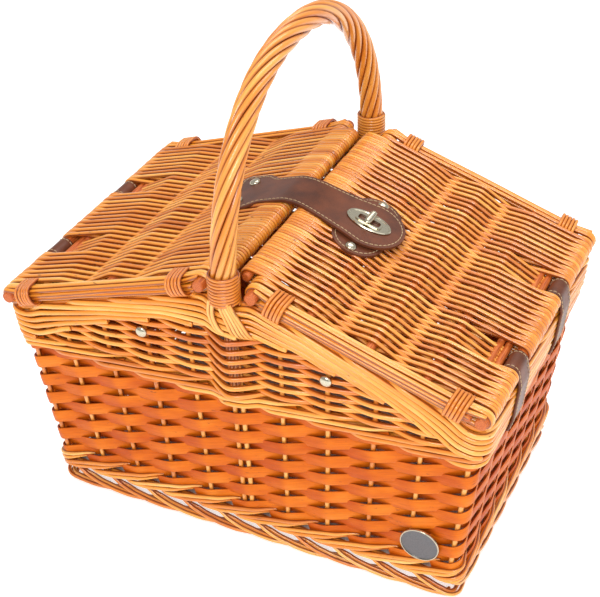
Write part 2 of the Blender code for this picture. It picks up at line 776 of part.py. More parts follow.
def slot_plate(pivot, mat):
    """Oval eyelet plate on the tongue; its slot lets the turned knob through."""
    hx, hy = SLOT_HALF[0] - 0.0005, SLOT_HALF[1] - 0.0005
    slot = [(-hx, -hy), (hx, -hy), (hx, hy), (-hx, hy)]
    plate = flat_plate([oval(*PLATE_HALF), slot], PLATE_THICKNESS)
    level = TONGUE_LEVEL + LEATHER + GAP + PLATE_THICKNESS / 2
    cx, cz = lid_place(1, LID_SPAN - LOCK_FROM_RIDGE, level)
    origin = pivot.matrix_world.translation
    hang(plate, pivot, "latch_slot_plate", mat)
    plate.location = (cx - origin.x, LOCK_Y, cz - origin.z)
    plate.rotation_euler = (0.0, LID_TILT, 0.0)


def latch_pad(pivot, mat, metal):
    """Round-ended leather pad under the lock on the right lid, with a rivet at each end.

    The right lid's own Y runs to the front, so the lock lies at -LOCK_Y along it.
    """
    centre = LID_SPAN - LOCK_FROM_RIDGE
    straight = PAD_HALF_V - PAD_HALF_U
    steps = 10
    outline = []
    for sign in (1, -1):
        for k in range(steps + 1):
            t = math.pi * k / steps
            outline.append((centre + sign * PAD_HALF_U * math.cos(t),
                            sign * (straight + PAD_HALF_U * math.sin(t)) - LOCK_Y))
    low = WEAVE_HALF_THICKNESS + GAP
    pad = flat_plate([outline], LEATHER)
    pad.location.z = low + LEATHER / 2
    pad = to_mesh(pad)
    places = [(centre, PAD_RIVET_V - LOCK_Y), (centre, -PAD_RIVET_V - LOCK_Y)]
    boolean(pad, holes_at("latch_pad_holes", places, SHANK_RADIUS + GAP, pivot), "DIFFERENCE")
    hang(pad, pivot, "latch_pad", mat)
    for label, (x, y) in zip(("front", "back"), places):
        rivet = turned(rivet_profile(LEATHER))
        rivet.location = (x, y, low + LEATHER)
        hang(rivet, pivot, f"latch_pad_rivet_{label}", metal)


def lock_post(pivot, mat):
    """Flanged post that carries the turning knob."""
    low = WEAVE_HALF_THICKNESS + LEATHER + 2 * GAP
    top = TONGUE_LEVEL + LEATHER + GAP + PLATE_THICKNESS + 0.0018
    profile = [(0.0, top), (POST_RADIUS, top), (POST_RADIUS, low + 0.0012),
               (POST_FLANGE_RADIUS, low + 0.0012), (POST_FLANGE_RADIUS, low), (0.0, low)]
    post = turned(profile)
    hang(post, pivot, "lock_post", mat)
    post.location = (LID_SPAN - LOCK_FROM_RIDGE, -LOCK_Y, 0.0)
    return top


def turn_knob(lid_empty, level, mat):
    """Short bar that lies across the slot when locked and turns a quarter to let it off."""
    x, z = lid_place(1, LID_SPAN - LOCK_FROM_RIDGE, level + GAP)
    pivot = empty("turn_knob_pivot", (x, LOCK_Y, z), (0.0, LID_TILT, 0.0))
    sx, sy, sz = KNOB_SIZE
    knob = box((-sx / 2, -sy / 2, 0.0), (sx / 2, sy / 2, sz), bevel=0.0015)
    hang(knob, pivot, "turn_knob", mat)
    return pivot


# ---------------------------------------------------------------- assembly
def build():
    clear_scene()
    mats = {
        "willow": material("willow", (0.72, 0.33, 0.08), 0.35),
        "split": material("split_wood", (0.75, 0.26, 0.04), 0.4),
        "stick": material("stick", (0.45, 0.16, 0.06), 0.5),
        "board": material("board", (0.62, 0.55, 0.47), 0.7),
        "leather": material("leather", (0.12, 0.035, 0.015), 0.45),
        "metal": material("nickel", (0.72, 0.68, 0.56), 0.2, 1.0),
        "badge": material("badge", (0.35, 0.36, 0.37), 0.4, 0.6),
    }
    base_floor(mats["board"])
    foot_border(mats["willow"])
    band("lower_wale", LOWER_WALE, WALE_PROUD, WALE_THICKNESS, mats["willow"])
    band("upper_wale", UPPER_WALE, WALE_PROUD, WALE_THICKNESS, mats["willow"])
    wall_weave(mats["split"])

    handle_bow(mats["willow"])
    bow_cutter = as_cutter(to_mesh(bow_tube(GAP)), "bow_clearance")
    for label, side in (("front", -1), ("back", 1)):
        holes = stud_holes(f"stud_holes_{label}", side)
        gable(f"gable_{label}", side, mats["willow"], bow_cutter, holes)
        long_rim(f"rim_{label}", side, mats["willow"], bow_cutter)
        handle_binding(f"handle_binding_{label}", side, mats["willow"])
        for name, x in (("left", -STUD_X), ("right", STUD_X)):
            wall_stud(f"stud_{label}_{name}", side, x, mats["metal"])
    end_rim("rim_left", -1, mats["willow"])
    end_rim("rim_right", 1, mats["willow"])
    badge_plate(mats["badge"])

    for label, side in (("left", -1), ("right", 1)):
        for place, y in zip(("front", "back"), STRAP_Y):
            hinge_strap(f"hinge_strap_{label}_{place}", side, y, mats["leather"])
    left = lid("left_lid", -1, mats)
    right = lid("right_lid", 1, mats)

    latch_base(left, mats["leather"], mats["metal"])
    x, z = lid_place(-1, EDGE_SPAN, STRAP_BASE_LEVEL + LEATHER / 2)
    tongue_pivot = empty("latch_tongue_pivot", (x, 0.0, z))
    bpy.context.view_layer.update()
    latch_tongue(tongue_pivot, mats["leather"])
    slot_plate(tongue_pivot, mats["metal"])
    latch_pad(right, mats["leather"], mats["metal"])
    level = lock_post(right, mats["metal"])
    turn_knob(right, level, mats["metal"])


build()
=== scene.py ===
from math import atan2, cos, hypot, pi, radians, sin, sqrt

import bpy
import numpy as np
from mathutils import Matrix, Vector


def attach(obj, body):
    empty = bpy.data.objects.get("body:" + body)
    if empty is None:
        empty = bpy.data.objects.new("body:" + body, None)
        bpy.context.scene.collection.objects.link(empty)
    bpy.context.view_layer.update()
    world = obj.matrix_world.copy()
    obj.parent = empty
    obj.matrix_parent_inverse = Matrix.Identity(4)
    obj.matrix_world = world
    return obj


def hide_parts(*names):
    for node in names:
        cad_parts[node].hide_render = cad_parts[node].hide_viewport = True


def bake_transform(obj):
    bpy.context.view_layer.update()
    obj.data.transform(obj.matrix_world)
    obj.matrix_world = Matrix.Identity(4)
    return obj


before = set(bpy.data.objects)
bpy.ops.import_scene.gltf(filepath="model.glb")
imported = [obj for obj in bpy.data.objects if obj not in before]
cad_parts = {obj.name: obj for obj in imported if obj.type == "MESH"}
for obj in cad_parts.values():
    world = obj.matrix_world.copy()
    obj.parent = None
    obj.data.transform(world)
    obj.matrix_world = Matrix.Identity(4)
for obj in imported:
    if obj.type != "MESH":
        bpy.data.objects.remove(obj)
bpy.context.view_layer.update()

# ---------------------------------------------------------------- driving dimensions (metres)
BOTTOM_HALF_LENGTH = 0.195
BOTTOM_HALF_WIDTH = 0.125
END_LEAN = 0.112
SIDE_LEAN = 0.0745
CORNER_RADIUS = 0.011
MID_HEIGHT = 0.100                # the level at which distances round the wall are measured

STAKES = 34                       # upright stakes round the body
STAKES_TO_CORNER = 5              # stakes from the front's middle to the corner
STAKE_STEP = 0.0392
STAKE_RADIUS = 0.0024
STAKE_DEPTH = -0.004              # stake centre line, inward from the wall's outer face

WALL_LOW = 0.040
WALL_HIGH = 0.161
STRIP_RISE = 0.0105               # each wall strip climbs this much from stake to stake
STRIP_HALF_WIDTH = 0.0063
STRIP_HALF_THICKNESS = 0.0007
STRIP_SWING = 0.0036              # how far a strip goes out and in as it passes the stakes

FOOT_ROD_RADIUS = 0.00185
LOWER_WALE_RADIUS = 0.00215
UPPER_WALE_RADIUS = 0.00235
UPPER_WALE_INNER_RADIUS = 0.0022
WALE_START = -0.95                # a wale rod starts this many stakes from its own stake
RIM_ROD_RADIUS = 0.00262
RIM_INNER_RADIUS = 0.0023
RIM_LAY = 5.2                     # each border rod ends this many stakes on

RIM_CORNER_LOW = 0.1725
RIM_CORNER_TOP = 0.2045
RIM_PEAK = 0.2690
RIM_LOW_EDGE = [(0.0, 0.2380), (0.060, 0.2335), (0.120, 0.2135), (0.165, 0.1920), (0.195, 0.1725)]

GABLE_ROD_RADIUS = 0.00246
GABLE_SWING = 0.0037
GABLE_LEG_SWING = (0.0118, -0.0012)   # further out in front of the handle's leg, or in behind it
GABLE_ROWS = 14
GABLE_LOW = 0.1765
GABLE_PITCH = 0.00475

# A place on a lid is u from its hinge towards the ridge, v or y along the ridge and w above its middle.
HINGE_X = 0.214
HINGE_Z = 0.2165
RIDGE_X = 0.023
RIDGE_Z = 0.280
LID_TILT = atan2(RIDGE_Z - HINGE_Z, HINGE_X - RIDGE_X)
LID_SPAN = hypot(RIDGE_Z - HINGE_Z, HINGE_X - RIDGE_X)
STICK_RADIUS = 0.0051
END_STICK_HALF = 0.1475
RIDGE_STICK_HALF = 0.150
LID_STAKE_RADIUS = 0.0040
EDGE_FROM_RIDGE = 0.0142          # second, shorter stick that the lid's rods turn back round
EDGE_SPAN = LID_SPAN + EDGE_FROM_RIDGE
EDGE_STICK_RADIUS = 0.0036
EDGE_HALF_WIDTH = 0.1275
EDGE_ROLL_RADIUS = 0.0072         # outside of the rods where they turn round the edge stick
EDGE_STICK_HALF = 0.1290
LID_STAKE_HALF = 0.136
STAKE_FROM_RIDGE = (0.046, 0.0985, 0.149)
LID_SWING = 0.0059                # how far the rods rise and dip at the stakes
WEAVE_HALF_WIDTH = 0.1335
LID_ROWS = 70
LID_ROD_RADIUS = 0.00197
RAIL = (0.1365, 0.1505)
RAIL_ROD_RADIUS = 0.0021
LASHING_RADIUS = 0.0016
LASHING_TURNS = 5
LASHING_FROM_RIDGE = 0.021
LASHING_FROM_END = 0.022

STRAP_Y = (-0.066, 0.048)
STRAP_WIDTH = 0.025
STRAP_THICKNESS = 0.0022

HANDLE_FOOT_Y = 0.1486
HANDLE_FOOT_Z = 0.280
HANDLE_RISE = 0.162
HANDLE_LEAN = -0.004
BOW_FULLNESS = 0.91               # 1 bends the bow to a half ellipse; less gives it fuller shoulders
HANDLE_RADIUS = 0.0106
HANDLE_STRANDS = 9
HANDLE_TWIST = 0.185              # length of one full turn of the strands
LEG_BOTTOM_Z = 0.178
BINDING = (0.2706, 0.2990)
BINDING_TURNS = 9
BINDING_ROD_RADIUS = 0.0015
BINDING_TAIL_RADIUS = 0.0018
# Tails of the binding's cane: x at the top, x at the bottom, and how far each bows sideways.
BINDING_TAILS = [(-0.0085, 0.0000, -0.0055), (-0.0050, 0.0034, -0.0055), (-0.0010, 0.0080, 0.0020),
                 (0.0018, 0.0118, 0.0020), (0.0046, 0.0156, 0.0020), (0.0072, 0.0194, 0.0020),
                 (0.0094, 0.0230, 0.0020)]

STUD_X = 0.084
STUD_Z = 0.215
STUD_RADIUS = 0.0054
BADGE_X = 0.163
BADGE_Z = 0.059
BADGE_RADIUS = 0.0175

LEATHER = 0.0025
STITCH_LENGTH = 0.0030
STITCH_GAP = 0.0011
THREAD_RADIUS = 0.00036
STRAP_BASE_LEVEL = 0.0079
TONGUE_LEVEL = 0.0110
LOCK_FROM_RIDGE = 0.0378
STRAP_MID_Y = -0.0015             # middle of the strap on the left lid
LOCK_Y = -0.0075                  # middle of the lock; the strap lies a little askew
TAB_FROM_RIDGE = (0.014, 0.047)
TAB_HALF_WIDTH = 0.031
NECK_HALF_WIDTH = 0.0225
TIP_RADIUS = 0.0300
TIP_REACH = 0.0705
LATCH_RIVET_V = 0.017
LATCH_RIVET_FROM_RIDGE = 0.030
PAD_LEVEL = 0.0068
PAD_HALF_U = 0.023
PAD_HALF_V = 0.042
PAD_RIVET_V = 0.035
RIVET_RADIUS = 0.0050
SLOT_HALF = (0.0105, 0.0040)
PLATE_HALF = (0.0205, 0.0115)
PLATE_THICKNESS = 0.0014
POST_RADIUS = 0.0028
KNOB_SIZE = (0.0062, 0.0190, 0.0045)
KNOB_LEVEL = TONGUE_LEVEL + LEATHER + PLATE_THICKNESS + 0.0021
END_RING_SHARE = 0.72              # a rod's cut end is slightly domed: the last ring's share of its width
SMOOTH_UP_TO = radians(38)          # metal edges sharper than this stay crisp
MIX_A, MIX_B, MIX_RESULT = 6, 7, 2  # colour sockets of a Mix node

BROWN = (0.16, 0.045, 0.010)
HONEY = ((0.15, (0.50, 0.105, 0.004)), (0.40, (0.74, 0.20, 0.010)), (0.65, (0.88, 0.31, 0.028)),
         (0.90, (0.96, 0.50, 0.10)))
CREST = ((0.15, (0.58, 0.15, 0.008)), (0.40, (0.78, 0.25, 0.018)), (0.65, (0.90, 0.36, 0.040)),
         (0.90, (0.97, 0.54, 0.13)))
PALE = ((0.15, (0.60, 0.15, 0.006)), (0.40, (0.82, 0.27, 0.018)), (0.65, (0.92, 0.39, 0.050)),
        (0.90, (0.98, 0.60, 0.18)))
ORANGE = ((0.25, (0.36, 0.040, 0.001)), (0.42, (0.52, 0.084, 0.002)), (0.60, (0.67, 0.148, 0.004)),
          (0.80, (0.78, 0.24, 0.022)))
BOW = ((0.15, (0.56, 0.14, 0.010)), (0.45, (0.78, 0.27, 0.030)), (0.90, (0.93, 0.50, 0.120)))
LOOKS = {}                          # the materials by short name


# ---------------------------------------------------------------- paths
def unit(vectors):
    return vectors / np.maximum(np.linalg.norm(vectors, axis=-1, keepdims=True), 1e-12)


def soften(values, reach):
    """Rounds the corners of a sampled path; reach is in samples."""
    values = np.asarray(values, float)
    window = np.hanning(2 * reach + 3)[1:-1]
    window /= window.sum()
    padded = np.concatenate([np.repeat(values[:1], reach, 0), values, np.repeat(values[-1:], reach, 0)])
    if values.ndim == 1:
        return np.convolve(padded, window, "valid")
    return np.stack([np.convolve(column, window, "valid") for column in padded.T], 1)


def wander(rng, count, size):
    """Slow random drift along a path of count samples."""
    t = np.linspace(0.0, 1.0, count)
    total = np.zeros(count)
    for k in (1, 2, 3):
        total += rng.normal() / k * np.sin(2 * pi * (k * t * rng.uniform(0.6, 1.4) + rng.uniform()))
    return size * total


def run_along(path):
    """Distance of each point of a path from its start."""
    return np.concatenate([[0.0], np.cumsum(np.linalg.norm(np.diff(path, axis=0), axis=1))])


def read_off(at, run, path):
    """Points of a path at the given distances along it."""
    return np.stack([np.interp(at, run, column) for column in path.T], 1)


def resample(points, spacing):
    """Evenly spaced points along a polyline."""
    points = np.asarray(points, float)
    run = run_along(points)
    count = max(int(round(run[-1] / spacing)) + 1, 4)
    return read_off(np.linspace(0.0, run[-1], count), run, points)


def loop_tangent(path):
    return unit(np.roll(path, -1, 0) - np.roll(path, 1, 0))


def with_ends(values, scale=1.0):
    """Values with the first and the last repeated, scaled."""
    return np.concatenate([values[:1] * scale, values, values[-1:] * scale])


# ---------------------------------------------------------------- swept rods
def round_section(sides):
    angle = (np.arange(sides) + 0.5) * 2 * pi / sides
    return np.stack([np.cos(angle), np.sin(angle)], 1)


STRIP_SECTION = np.array([(-1, -0.4), (-0.88, -1), (0, -1), (0.88, -1), (1, -0.4),
                          (1, 0.4), (0.88, 1), (0, 1.35), (-0.88, 1), (-1, 0.4)], float)
STRAP_SECTION = np.array([(-1, -0.55), (-0.965, -1), (0, -1), (0.965, -1), (1, -0.55), (1, 0.55),
                          (0.965, 1), (0.5, 1), (0, 1), (-0.5, 1), (-0.965, 1), (-1, 0.55)], float)


class Bundle:
    """Swept rods gathered into one mesh; each keeps its own grain coordinates and tint."""

    def __init__(self, seed):
        self.rng = np.random.default_rng(seed)
        self.points, self.grain, self.tint, self.quads, self.caps = [], [], [], [], []
        self.count = 0

    def sweep(self, path, normals, half_width, half_depth=None, section=None, sides=8,
              closed=False, tint=None, dome=0.35):
        """One rod along path; normals say which way its section's depth points.

        tint is the rod's tone from 0 (dark) to 1 (pale), or one value for each point.
        """
        path = np.asarray(path, float)
        normals = np.broadcast_to(np.asarray(normals, float), path.shape)
        width = np.broadcast_to(np.asarray(half_width, float), (len(path),))
        depth = width if half_depth is None else np.broadcast_to(np.asarray(half_depth, float), (len(path),))
        tangent = loop_tangent(path) if closed else unit(np.gradient(path, axis=0))
        length = run_along(path)
        if not closed:
            reach = dome * min(width[0], depth[0])
            path = np.concatenate([path[:1] - tangent[:1] * reach, path, path[-1:] + tangent[-1:] * reach])
            length = np.concatenate([length[:1] - reach, length, length[-1:] + reach])
            width, depth = with_ends(width, END_RING_SHARE), with_ends(depth, END_RING_SHARE)
            normals, tangent = with_ends(normals), with_ends(tangent)
            if isinstance(tint, np.ndarray):
                tint = with_ends(tint)
        section = round_section(sides) if section is None else section
        side = unit(np.cross(tangent, normals))
        out = np.cross(side, tangent)
        a = section[None, :, 0] * width[:, None]
        b = section[None, :, 1] * depth[:, None]
        ring = path[:, None] + side[:, None] * a[..., None] + out[:, None] * b[..., None]
        self.store(ring, a, b, length, closed, tint)

    def store(self, ring, a, b, length, closed, tint):
        rows, sides = ring.shape[:2]
        seed = self.rng.uniform(0.0, 40.0)
        grain = np.stack([a + seed, b, np.broadcast_to(length[:, None], a.shape)], 2)
        index = self.count + np.arange(rows * sides).reshape(rows, sides)
        nxt = np.roll(index, -1, 1)
        if closed:
            above, above_nxt = np.roll(index, -1, 0), np.roll(nxt, -1, 0)
        else:
            self.caps += [index[0, ::-1], index[-1]]
            index, nxt, above, above_nxt = index[:-1], nxt[:-1], index[1:], nxt[1:]
        self.quads.append(np.stack([index, nxt, above_nxt, above], -1).reshape(-1, 4))
        self.points.append(ring.reshape(-1, 3))
        self.grain.append(grain.reshape(-1, 3))
        value = self.rng.uniform() if tint is None else tint
        self.tint.append(np.repeat(np.broadcast_to(value, (rows,)), sides))
        self.count += rows * sides

    def make(self, name, look, *replaces, body="basket", slot="willow"):
        """Turns the rods into one object that stands for the CAD nodes it replaces."""
        mesh = bpy.data.meshes.new(name)
        quads = np.concatenate(self.quads)
        corners = np.concatenate([quads.reshape(-1)] + self.caps)
        sizes = np.concatenate([np.full(len(quads), 4), [len(c) for c in self.caps]]).astype(int)
        mesh.vertices.add(self.count)
        mesh.vertices.foreach_set("co", flat32(self.points))
        mesh.loops.add(len(corners))
        mesh.loops.foreach_set("vertex_index", corners.astype(np.int32))
        mesh.polygons.add(len(sizes))
        mesh.polygons.foreach_set("loop_start", (np.cumsum(sizes) - sizes).astype(np.int32))
        mesh.polygons.foreach_set("use_smooth", np.arange(len(sizes)) < len(quads))
        mesh.attributes.new("grain", "FLOAT_VECTOR", "POINT").data.foreach_set("vector", flat32(self.grain))
        mesh.attributes.new("tint", "FLOAT", "POINT").data.foreach_set("value", flat32(self.tint))
        mesh.update(calc_edges=True)
        mesh.validate()
        return place(name, mesh, look, *replaces, body=body, slot=slot)


def flat32(parts):
    return np.concatenate(parts).astype(np.float32).reshape(-1)


def linked(name, data):
    """New object in the scene."""
    obj = bpy.data.objects.new(name, data)
    bpy.context.scene.collection.objects.link(obj)
    return obj


def place(name, mesh, look, *replaces, body, slot):
    """Puts a mesh in the scene; body is a CAD body, or None when the piece is attached to none."""
    obj = linked(name, mesh)
    mesh.materials.append(LOOKS[look])
    if body:
        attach(obj, body)
    if replaces:
        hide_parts(*replaces)
    return obj


# ---------------------------------------------------------------- materials
class Look:
    """A material, with short ways to add shader nodes to it."""

    def __init__(self, name):
        self.material = bpy.data.materials.new(name)
        self.material.use_nodes = True
        self.shader = self.material.node_tree.nodes["Principled BSDF"]

    def feed(self, node, inputs):
        """Links inputs to other nodes' outputs, or sets them to plain values and colours."""
        for name, value in inputs.items():
            socket = node.inputs[name]
            if isinstance(value, bpy.types.NodeSocket):
                self.material.node_tree.links.new(value, socket)
            else:
                socket.default_value = (*value, 1.0) if socket.type == "RGBA" else value
        return node

    def add(self, kind, inputs, **settings):
        node = self.material.node_tree.nodes.new("ShaderNode" + kind)
        for name, value in settings.items():
            setattr(node, name, value)
        return self.feed(node, inputs)

    def attribute(self, name, output):
        return self.add("Attribute", {}, attribute_name=name).outputs[output]

    def where(self):
        return self.add("TexCoord", {}).outputs["Object"]

    def noise(self, vector, scale, detail, roughness=0.55):
        """Noise in a stretched copy of the given coordinates."""
        stretched = self.add("Mapping", {"Vector": vector, "Scale": scale}).outputs["Vector"]
        inputs = {"Vector": stretched, "Scale": 1.0, "Detail": detail, "Roughness": roughness}
        return self.add("TexNoise", inputs).outputs["Fac"]

    def ramp(self, source, stops):
        """Colours, or greys from 0 to 1, at positions of the source."""
        node = self.add("ValToRGB", {"Fac": source})
        elements = node.color_ramp.elements
        while len(elements) < len(stops):
            elements.new(0.5)
        for element, (position, colour) in zip(elements, stops):
            element.position = position
            element.color = (*np.broadcast_to(colour, 3), 1.0)
        return node.outputs["Color"]

    def mix(self, factor, a, b, mode="MIX"):
        inputs = {"Factor": factor, MIX_A: a, MIX_B: b}
        return self.add("Mix", inputs, data_type="RGBA", blend_type=mode).outputs[MIX_RESULT]

    def maths(self, operation, a, b):
        return self.add("Math", {0: a, 1: b}, operation=operation).outputs["Value"]

    def weighted(self, a, share, b):
        return self.maths("ADD", self.maths("MULTIPLY", a, share), self.maths("MULTIPLY", b, 1.0 - share))

    def finish(self, inputs, height=None, strength=0.0, distance=0.0):
        """Gives the surface its inputs and, with a height, small bumps."""
        self.feed(self.shader, inputs)
        if height:
            node = self.add("Bump", {"Height": height, "Strength": strength, "Distance": distance})
            self.feed(self.shader, {"Normal": node.outputs["Normal"]})
        return self.material


def willow(name, tones, mark=BROWN, depth=0.0018, gloss=0.32, coat=0.55, shine=0.45):
    """Lacquered willow: each rod has its own tone, fine fibres and a few dark marks.

    A rod is painted darker along its flanks than on its outer and inner faces, as painted shade
    for the crevices between rods; depth is the half depth of the rods that wear it.
    """
    look = Look(name)
    grain = look.attribute("grain", "Vector")
    slow = look.noise(grain, (60.0, 60.0, 22.0), 2.0)
    fibre = look.noise(grain, (2600.0, 2600.0, 55.0), 4.0, 0.6)
    base = look.ramp(look.weighted(look.attribute("tint", "Fac"), 0.50, slow), tones)
    streak = look.ramp(fibre, [(0.32, (0.62, 0.50, 0.42)), (0.55, 1.0), (0.75, (1.12, 1.10, 1.06))])
    base = look.mix(0.55, base, streak, "MULTIPLY")
    spots = look.ramp(look.noise(grain, (420.0, 420.0, 130.0), 2.0, 0.5), [(0.69, 0.0), (0.76, 0.8)])
    base = look.mix(spots, base, mark)
    across = look.add("SeparateXYZ", {"Vector": grain}).outputs["Y"]
    height = look.maths("ABSOLUTE", look.maths("MULTIPLY", across, 1.0 / depth), 0.0)
    # painted shade: darkest on a rod's flanks, where the crevices between neighbouring rods lie in shade
    painted_flank_shade = look.ramp(height, [(0.0, (0.15, 0.060, 0.035)), (0.28, (0.54, 0.34, 0.22)), (0.78, 1.0)])
    base = look.mix(1.0, base, painted_flank_shade, "MULTIPLY")
    rough = look.ramp(fibre, [(0.3, gloss + 0.12), (0.7, gloss)])
    return look.finish({"Base Color": base, "Roughness": rough, "Specular IOR Level": shine,
                        "Coat Weight": coat, "Coat Roughness": 0.12}, fibre, 0.35, 0.00025)


def cut_wood(name):
    """Reddish stick."""
    look = Look(name)
    fibre = look.noise(look.attribute("grain", "Vector"), (1500.0, 1500.0, 60.0), 4.0, 0.6)
    base = look.ramp(fibre, [(0.30, (0.24, 0.035, 0.006)), (0.52, (0.55, 0.115, 0.014)),
                             (0.72, (0.76, 0.24, 0.045))])
    return look.finish({"Base Color": base, "Roughness": 0.5}, fibre, 0.4, 0.0003)


def leather(name, colour, dark):
    """Smooth finished leather with a faint grain."""
    look = Look(name)
    where = look.where()
    pores = look.noise(where, (1400.0,) * 3, 3.0, 0.6)
    patches = look.noise(where, (45.0,) * 3, 3.0)
    base = look.ramp(look.weighted(pores, 0.35, patches), [(0.35, dark), (0.62, colour)])
    return look.finish({"Base Color": base, "Roughness": 0.42, "Specular IOR Level": 0.25,
                        "Coat Weight": 0.15, "Coat Roughness": 0.30}, pores, 0.25, 0.0003)


def thread(name, colour):
    look = Look(name)
    twist = look.noise(look.where(), (3000.0,) * 3, 2.0)
    base = look.ramp(twist, [(0.3, np.array(colour) * 0.6), (0.7, colour)])
    return look.finish({"Base Color": base, "Roughness": 0.75})


def metal(name, colour, rough):
    look = Look(name)
    wear = look.noise(look.where(), (900.0,) * 3, 3.0)
    return look.finish({"Base Color": look.ramp(wear, [(0.3, np.array(colour) * 0.82), (0.7, colour)]),
                        "Roughness": look.ramp(wear, [(0.3, rough + 0.08), (0.7, rough)]), "Metallic": 1.0})


def board(name):
    """Plain grey board seen at the bottom of the basket."""
    look = Look(name)
    where = look.where()
    fine = look.noise(where, (500.0, 500.0, 60.0), 5.0, 0.65)
    broad = look.noise(where, (14.0, 60.0, 14.0), 3.0)
    base = look.ramp(look.weighted(fine, 0.5, broad),
                     [(0.35, (0.33, 0.28, 0.26)), (0.65, (0.60, 0.54, 0.52))])
    return look.finish({"Base Color": base, "Roughness": 0.75}, fine, 0.2, 0.0004)


def make_looks():
    LOOKS["rod"] = willow("willow_rods", HONEY)
    LOOKS["lid"] = willow("willow_lid_rods", CREST, gloss=0.30, coat=0.70)
    LOOKS["pale"] = willow("willow_pale_rods", PALE)
    LOOKS["handle"] = willow("willow_handle_rods", BOW, depth=0.0030, gloss=0.30, coat=0.60)
    LOOKS["strip"] = willow("split_willow_strips", ORANGE, (0.30, 0.06, 0.01), depth=0.0007, gloss=0.40,
                            coat=0.04, shine=0.15)
    LOOKS["stake"] = willow("willow_stakes", BOW)
    LOOKS["stick"] = cut_wood("stick_wood")
    LOOKS["leather"] = leather("brown_leather", (0.165, 0.046, 0.018), (0.075, 0.022, 0.011))
    LOOKS["thread"] = thread("tan_thread", (0.62, 0.44, 0.25))
    LOOKS["metal"] = metal("pale_nickel", (0.60, 0.55, 0.42), 0.16)
    LOOKS["badge"] = metal("grey_plate", (0.17, 0.175, 0.185), 0.34)
    LOOKS["board"] = board("floor_board")


# ---------------------------------------------------------------- places on the body
def half_length(z):
    return BOTTOM_HALF_LENGTH + END_LEAN * z


def half_width(z):
    return BOTTOM_HALF_WIDTH + SIDE_LEAN * z


# The ring round the body starts at the front's middle: half a side, then a corner and a side in turn.
MID_STRAIGHT_X = half_length(MID_HEIGHT) - CORNER_RADIUS
MID_STRAIGHT_Y = half_width(MID_HEIGHT) - CORNER_RADIUS
CORNER_ARC = CORNER_RADIUS * pi / 2
RING_LENGTHS = np.array([MID_STRAIGHT_X, CORNER_ARC, 2 * MID_STRAIGHT_Y, CORNER_ARC, 2 * MID_STRAIGHT_X,
                         CORNER_ARC, 2 * MID_STRAIGHT_Y, CORNER_ARC, MID_STRAIGHT_X])
RING_ENDS = np.cumsum(RING_LENGTHS)
RING_TOTAL = RING_ENDS[-1]
HUBS = np.array([(0, -1), (1, -1), (1, -1), (1, 1), (1, 1), (-1, 1), (-1, 1), (-1, -1), (-1, -1),
                 (0, -1)], float)
HEADING = np.radians([-90, -90, 0, 0, 90, 90, 180, 180, 270])
TURNING = np.radians([0, 90, 0, 90, 0, 90, 0, 90, 0])


def ring_place(t, z, out):
    """Points and outward normals at distance t round the wall, height z, and out from its face."""
    t, z, out = np.broadcast_arrays(np.asarray(t, float), np.asarray(z, float), np.asarray(out, float))
    t = np.mod(t, RING_TOTAL)
    part = np.minimum(np.searchsorted(RING_ENDS, t, side="right"), len(RING_ENDS) - 1)
    share = (t - (RING_ENDS[part] - RING_LENGTHS[part])) / RING_LENGTHS[part]
    angle = HEADING[part] + TURNING[part] * share
    hub = HUBS[part] + (HUBS[part + 1] - HUBS[part]) * share[:, None]
    nx, ny = np.cos(angle), np.sin(angle)
    x = hub[:, 0] * (half_length(z) - CORNER_RADIUS) + (CORNER_RADIUS + out) * nx
    y = hub[:, 1] * (half_width(z) - CORNER_RADIUS) + (CORNER_RADIUS + out) * ny
    lean = nx ** 2 * END_LEAN + ny ** 2 * SIDE_LEAN
    return np.stack([x, y, z], 1), unit(np.stack([nx, ny, -lean], 1))


CORNER_T = STAKES_TO_CORNER * STAKE_STEP
HALF = STAKES / 2
STAKE_KNOTS = [0, STAKES_TO_CORNER, HALF - STAKES_TO_CORNER, HALF + STAKES_TO_CORNER,
               STAKES - STAKES_TO_CORNER, STAKES]
STAKE_TS = [0, CORNER_T, RING_TOTAL / 2 - CORNER_T, RING_TOTAL / 2 + CORNER_T, RING_TOTAL - CORNER_T,
            RING_TOTAL]


def stake_t(q):
    """Distance round the wall of stake number q; fractions fall between stakes."""
    q = np.asarray(q, float)
    return np.interp(np.mod(q, STAKES), STAKE_KNOTS, STAKE_TS) + np.floor(q / STAKES) * RING_TOTAL


def weave_place(q, z, out):
    return ring_place(stake_t(q), z, out)


def side_of(q, z, margin):
    """World x of stake numbers q at height z, and whether each is on a long side of the body."""
    x, y, _ = weave_place(q, z, 0.0)[0].T
    return x, np.abs(np.abs(y) - half_width(z)) < margin


RIM_EDGE_X, RIM_EDGE_Z = zip(*RIM_LOW_EDGE)


def rim_low(x):
    return np.interp(np.abs(x), RIM_EDGE_X, RIM_EDGE_Z)


def rim_high(x):
    """Upper edge of the rim: close under the lids' rails, and lower where it turns into the ends."""
    return np.interp(np.abs(x), [RIDGE_X, 0.188, 0.203], [RIM_PEAK + 0.0020, 0.2150, RIM_CORNER_TOP])


def rim_place(q, level, out):
    """Points and normals on the rim; level is 0 at its lower edge and 1 at its upper edge."""
    x, long_side = side_of(q, 0.22, 0.020)
    reach = np.where(long_side, np.abs(x), 1.0)
    low, high = rim_low(reach), rim_high(reach)
    return weave_place(q, soften(low + (high - low) * np.asarray(level, float), 3), out)


def over_leg(path, normals, lift, reach=0.017):
    """Bends a rod of a long side outward where it passes over the handle's leg."""
    bulge = lift * np.exp(-(path[:, 0] / reach) ** 4) * normals[:, 1] ** 2
    return path + normals * bulge[:, None]


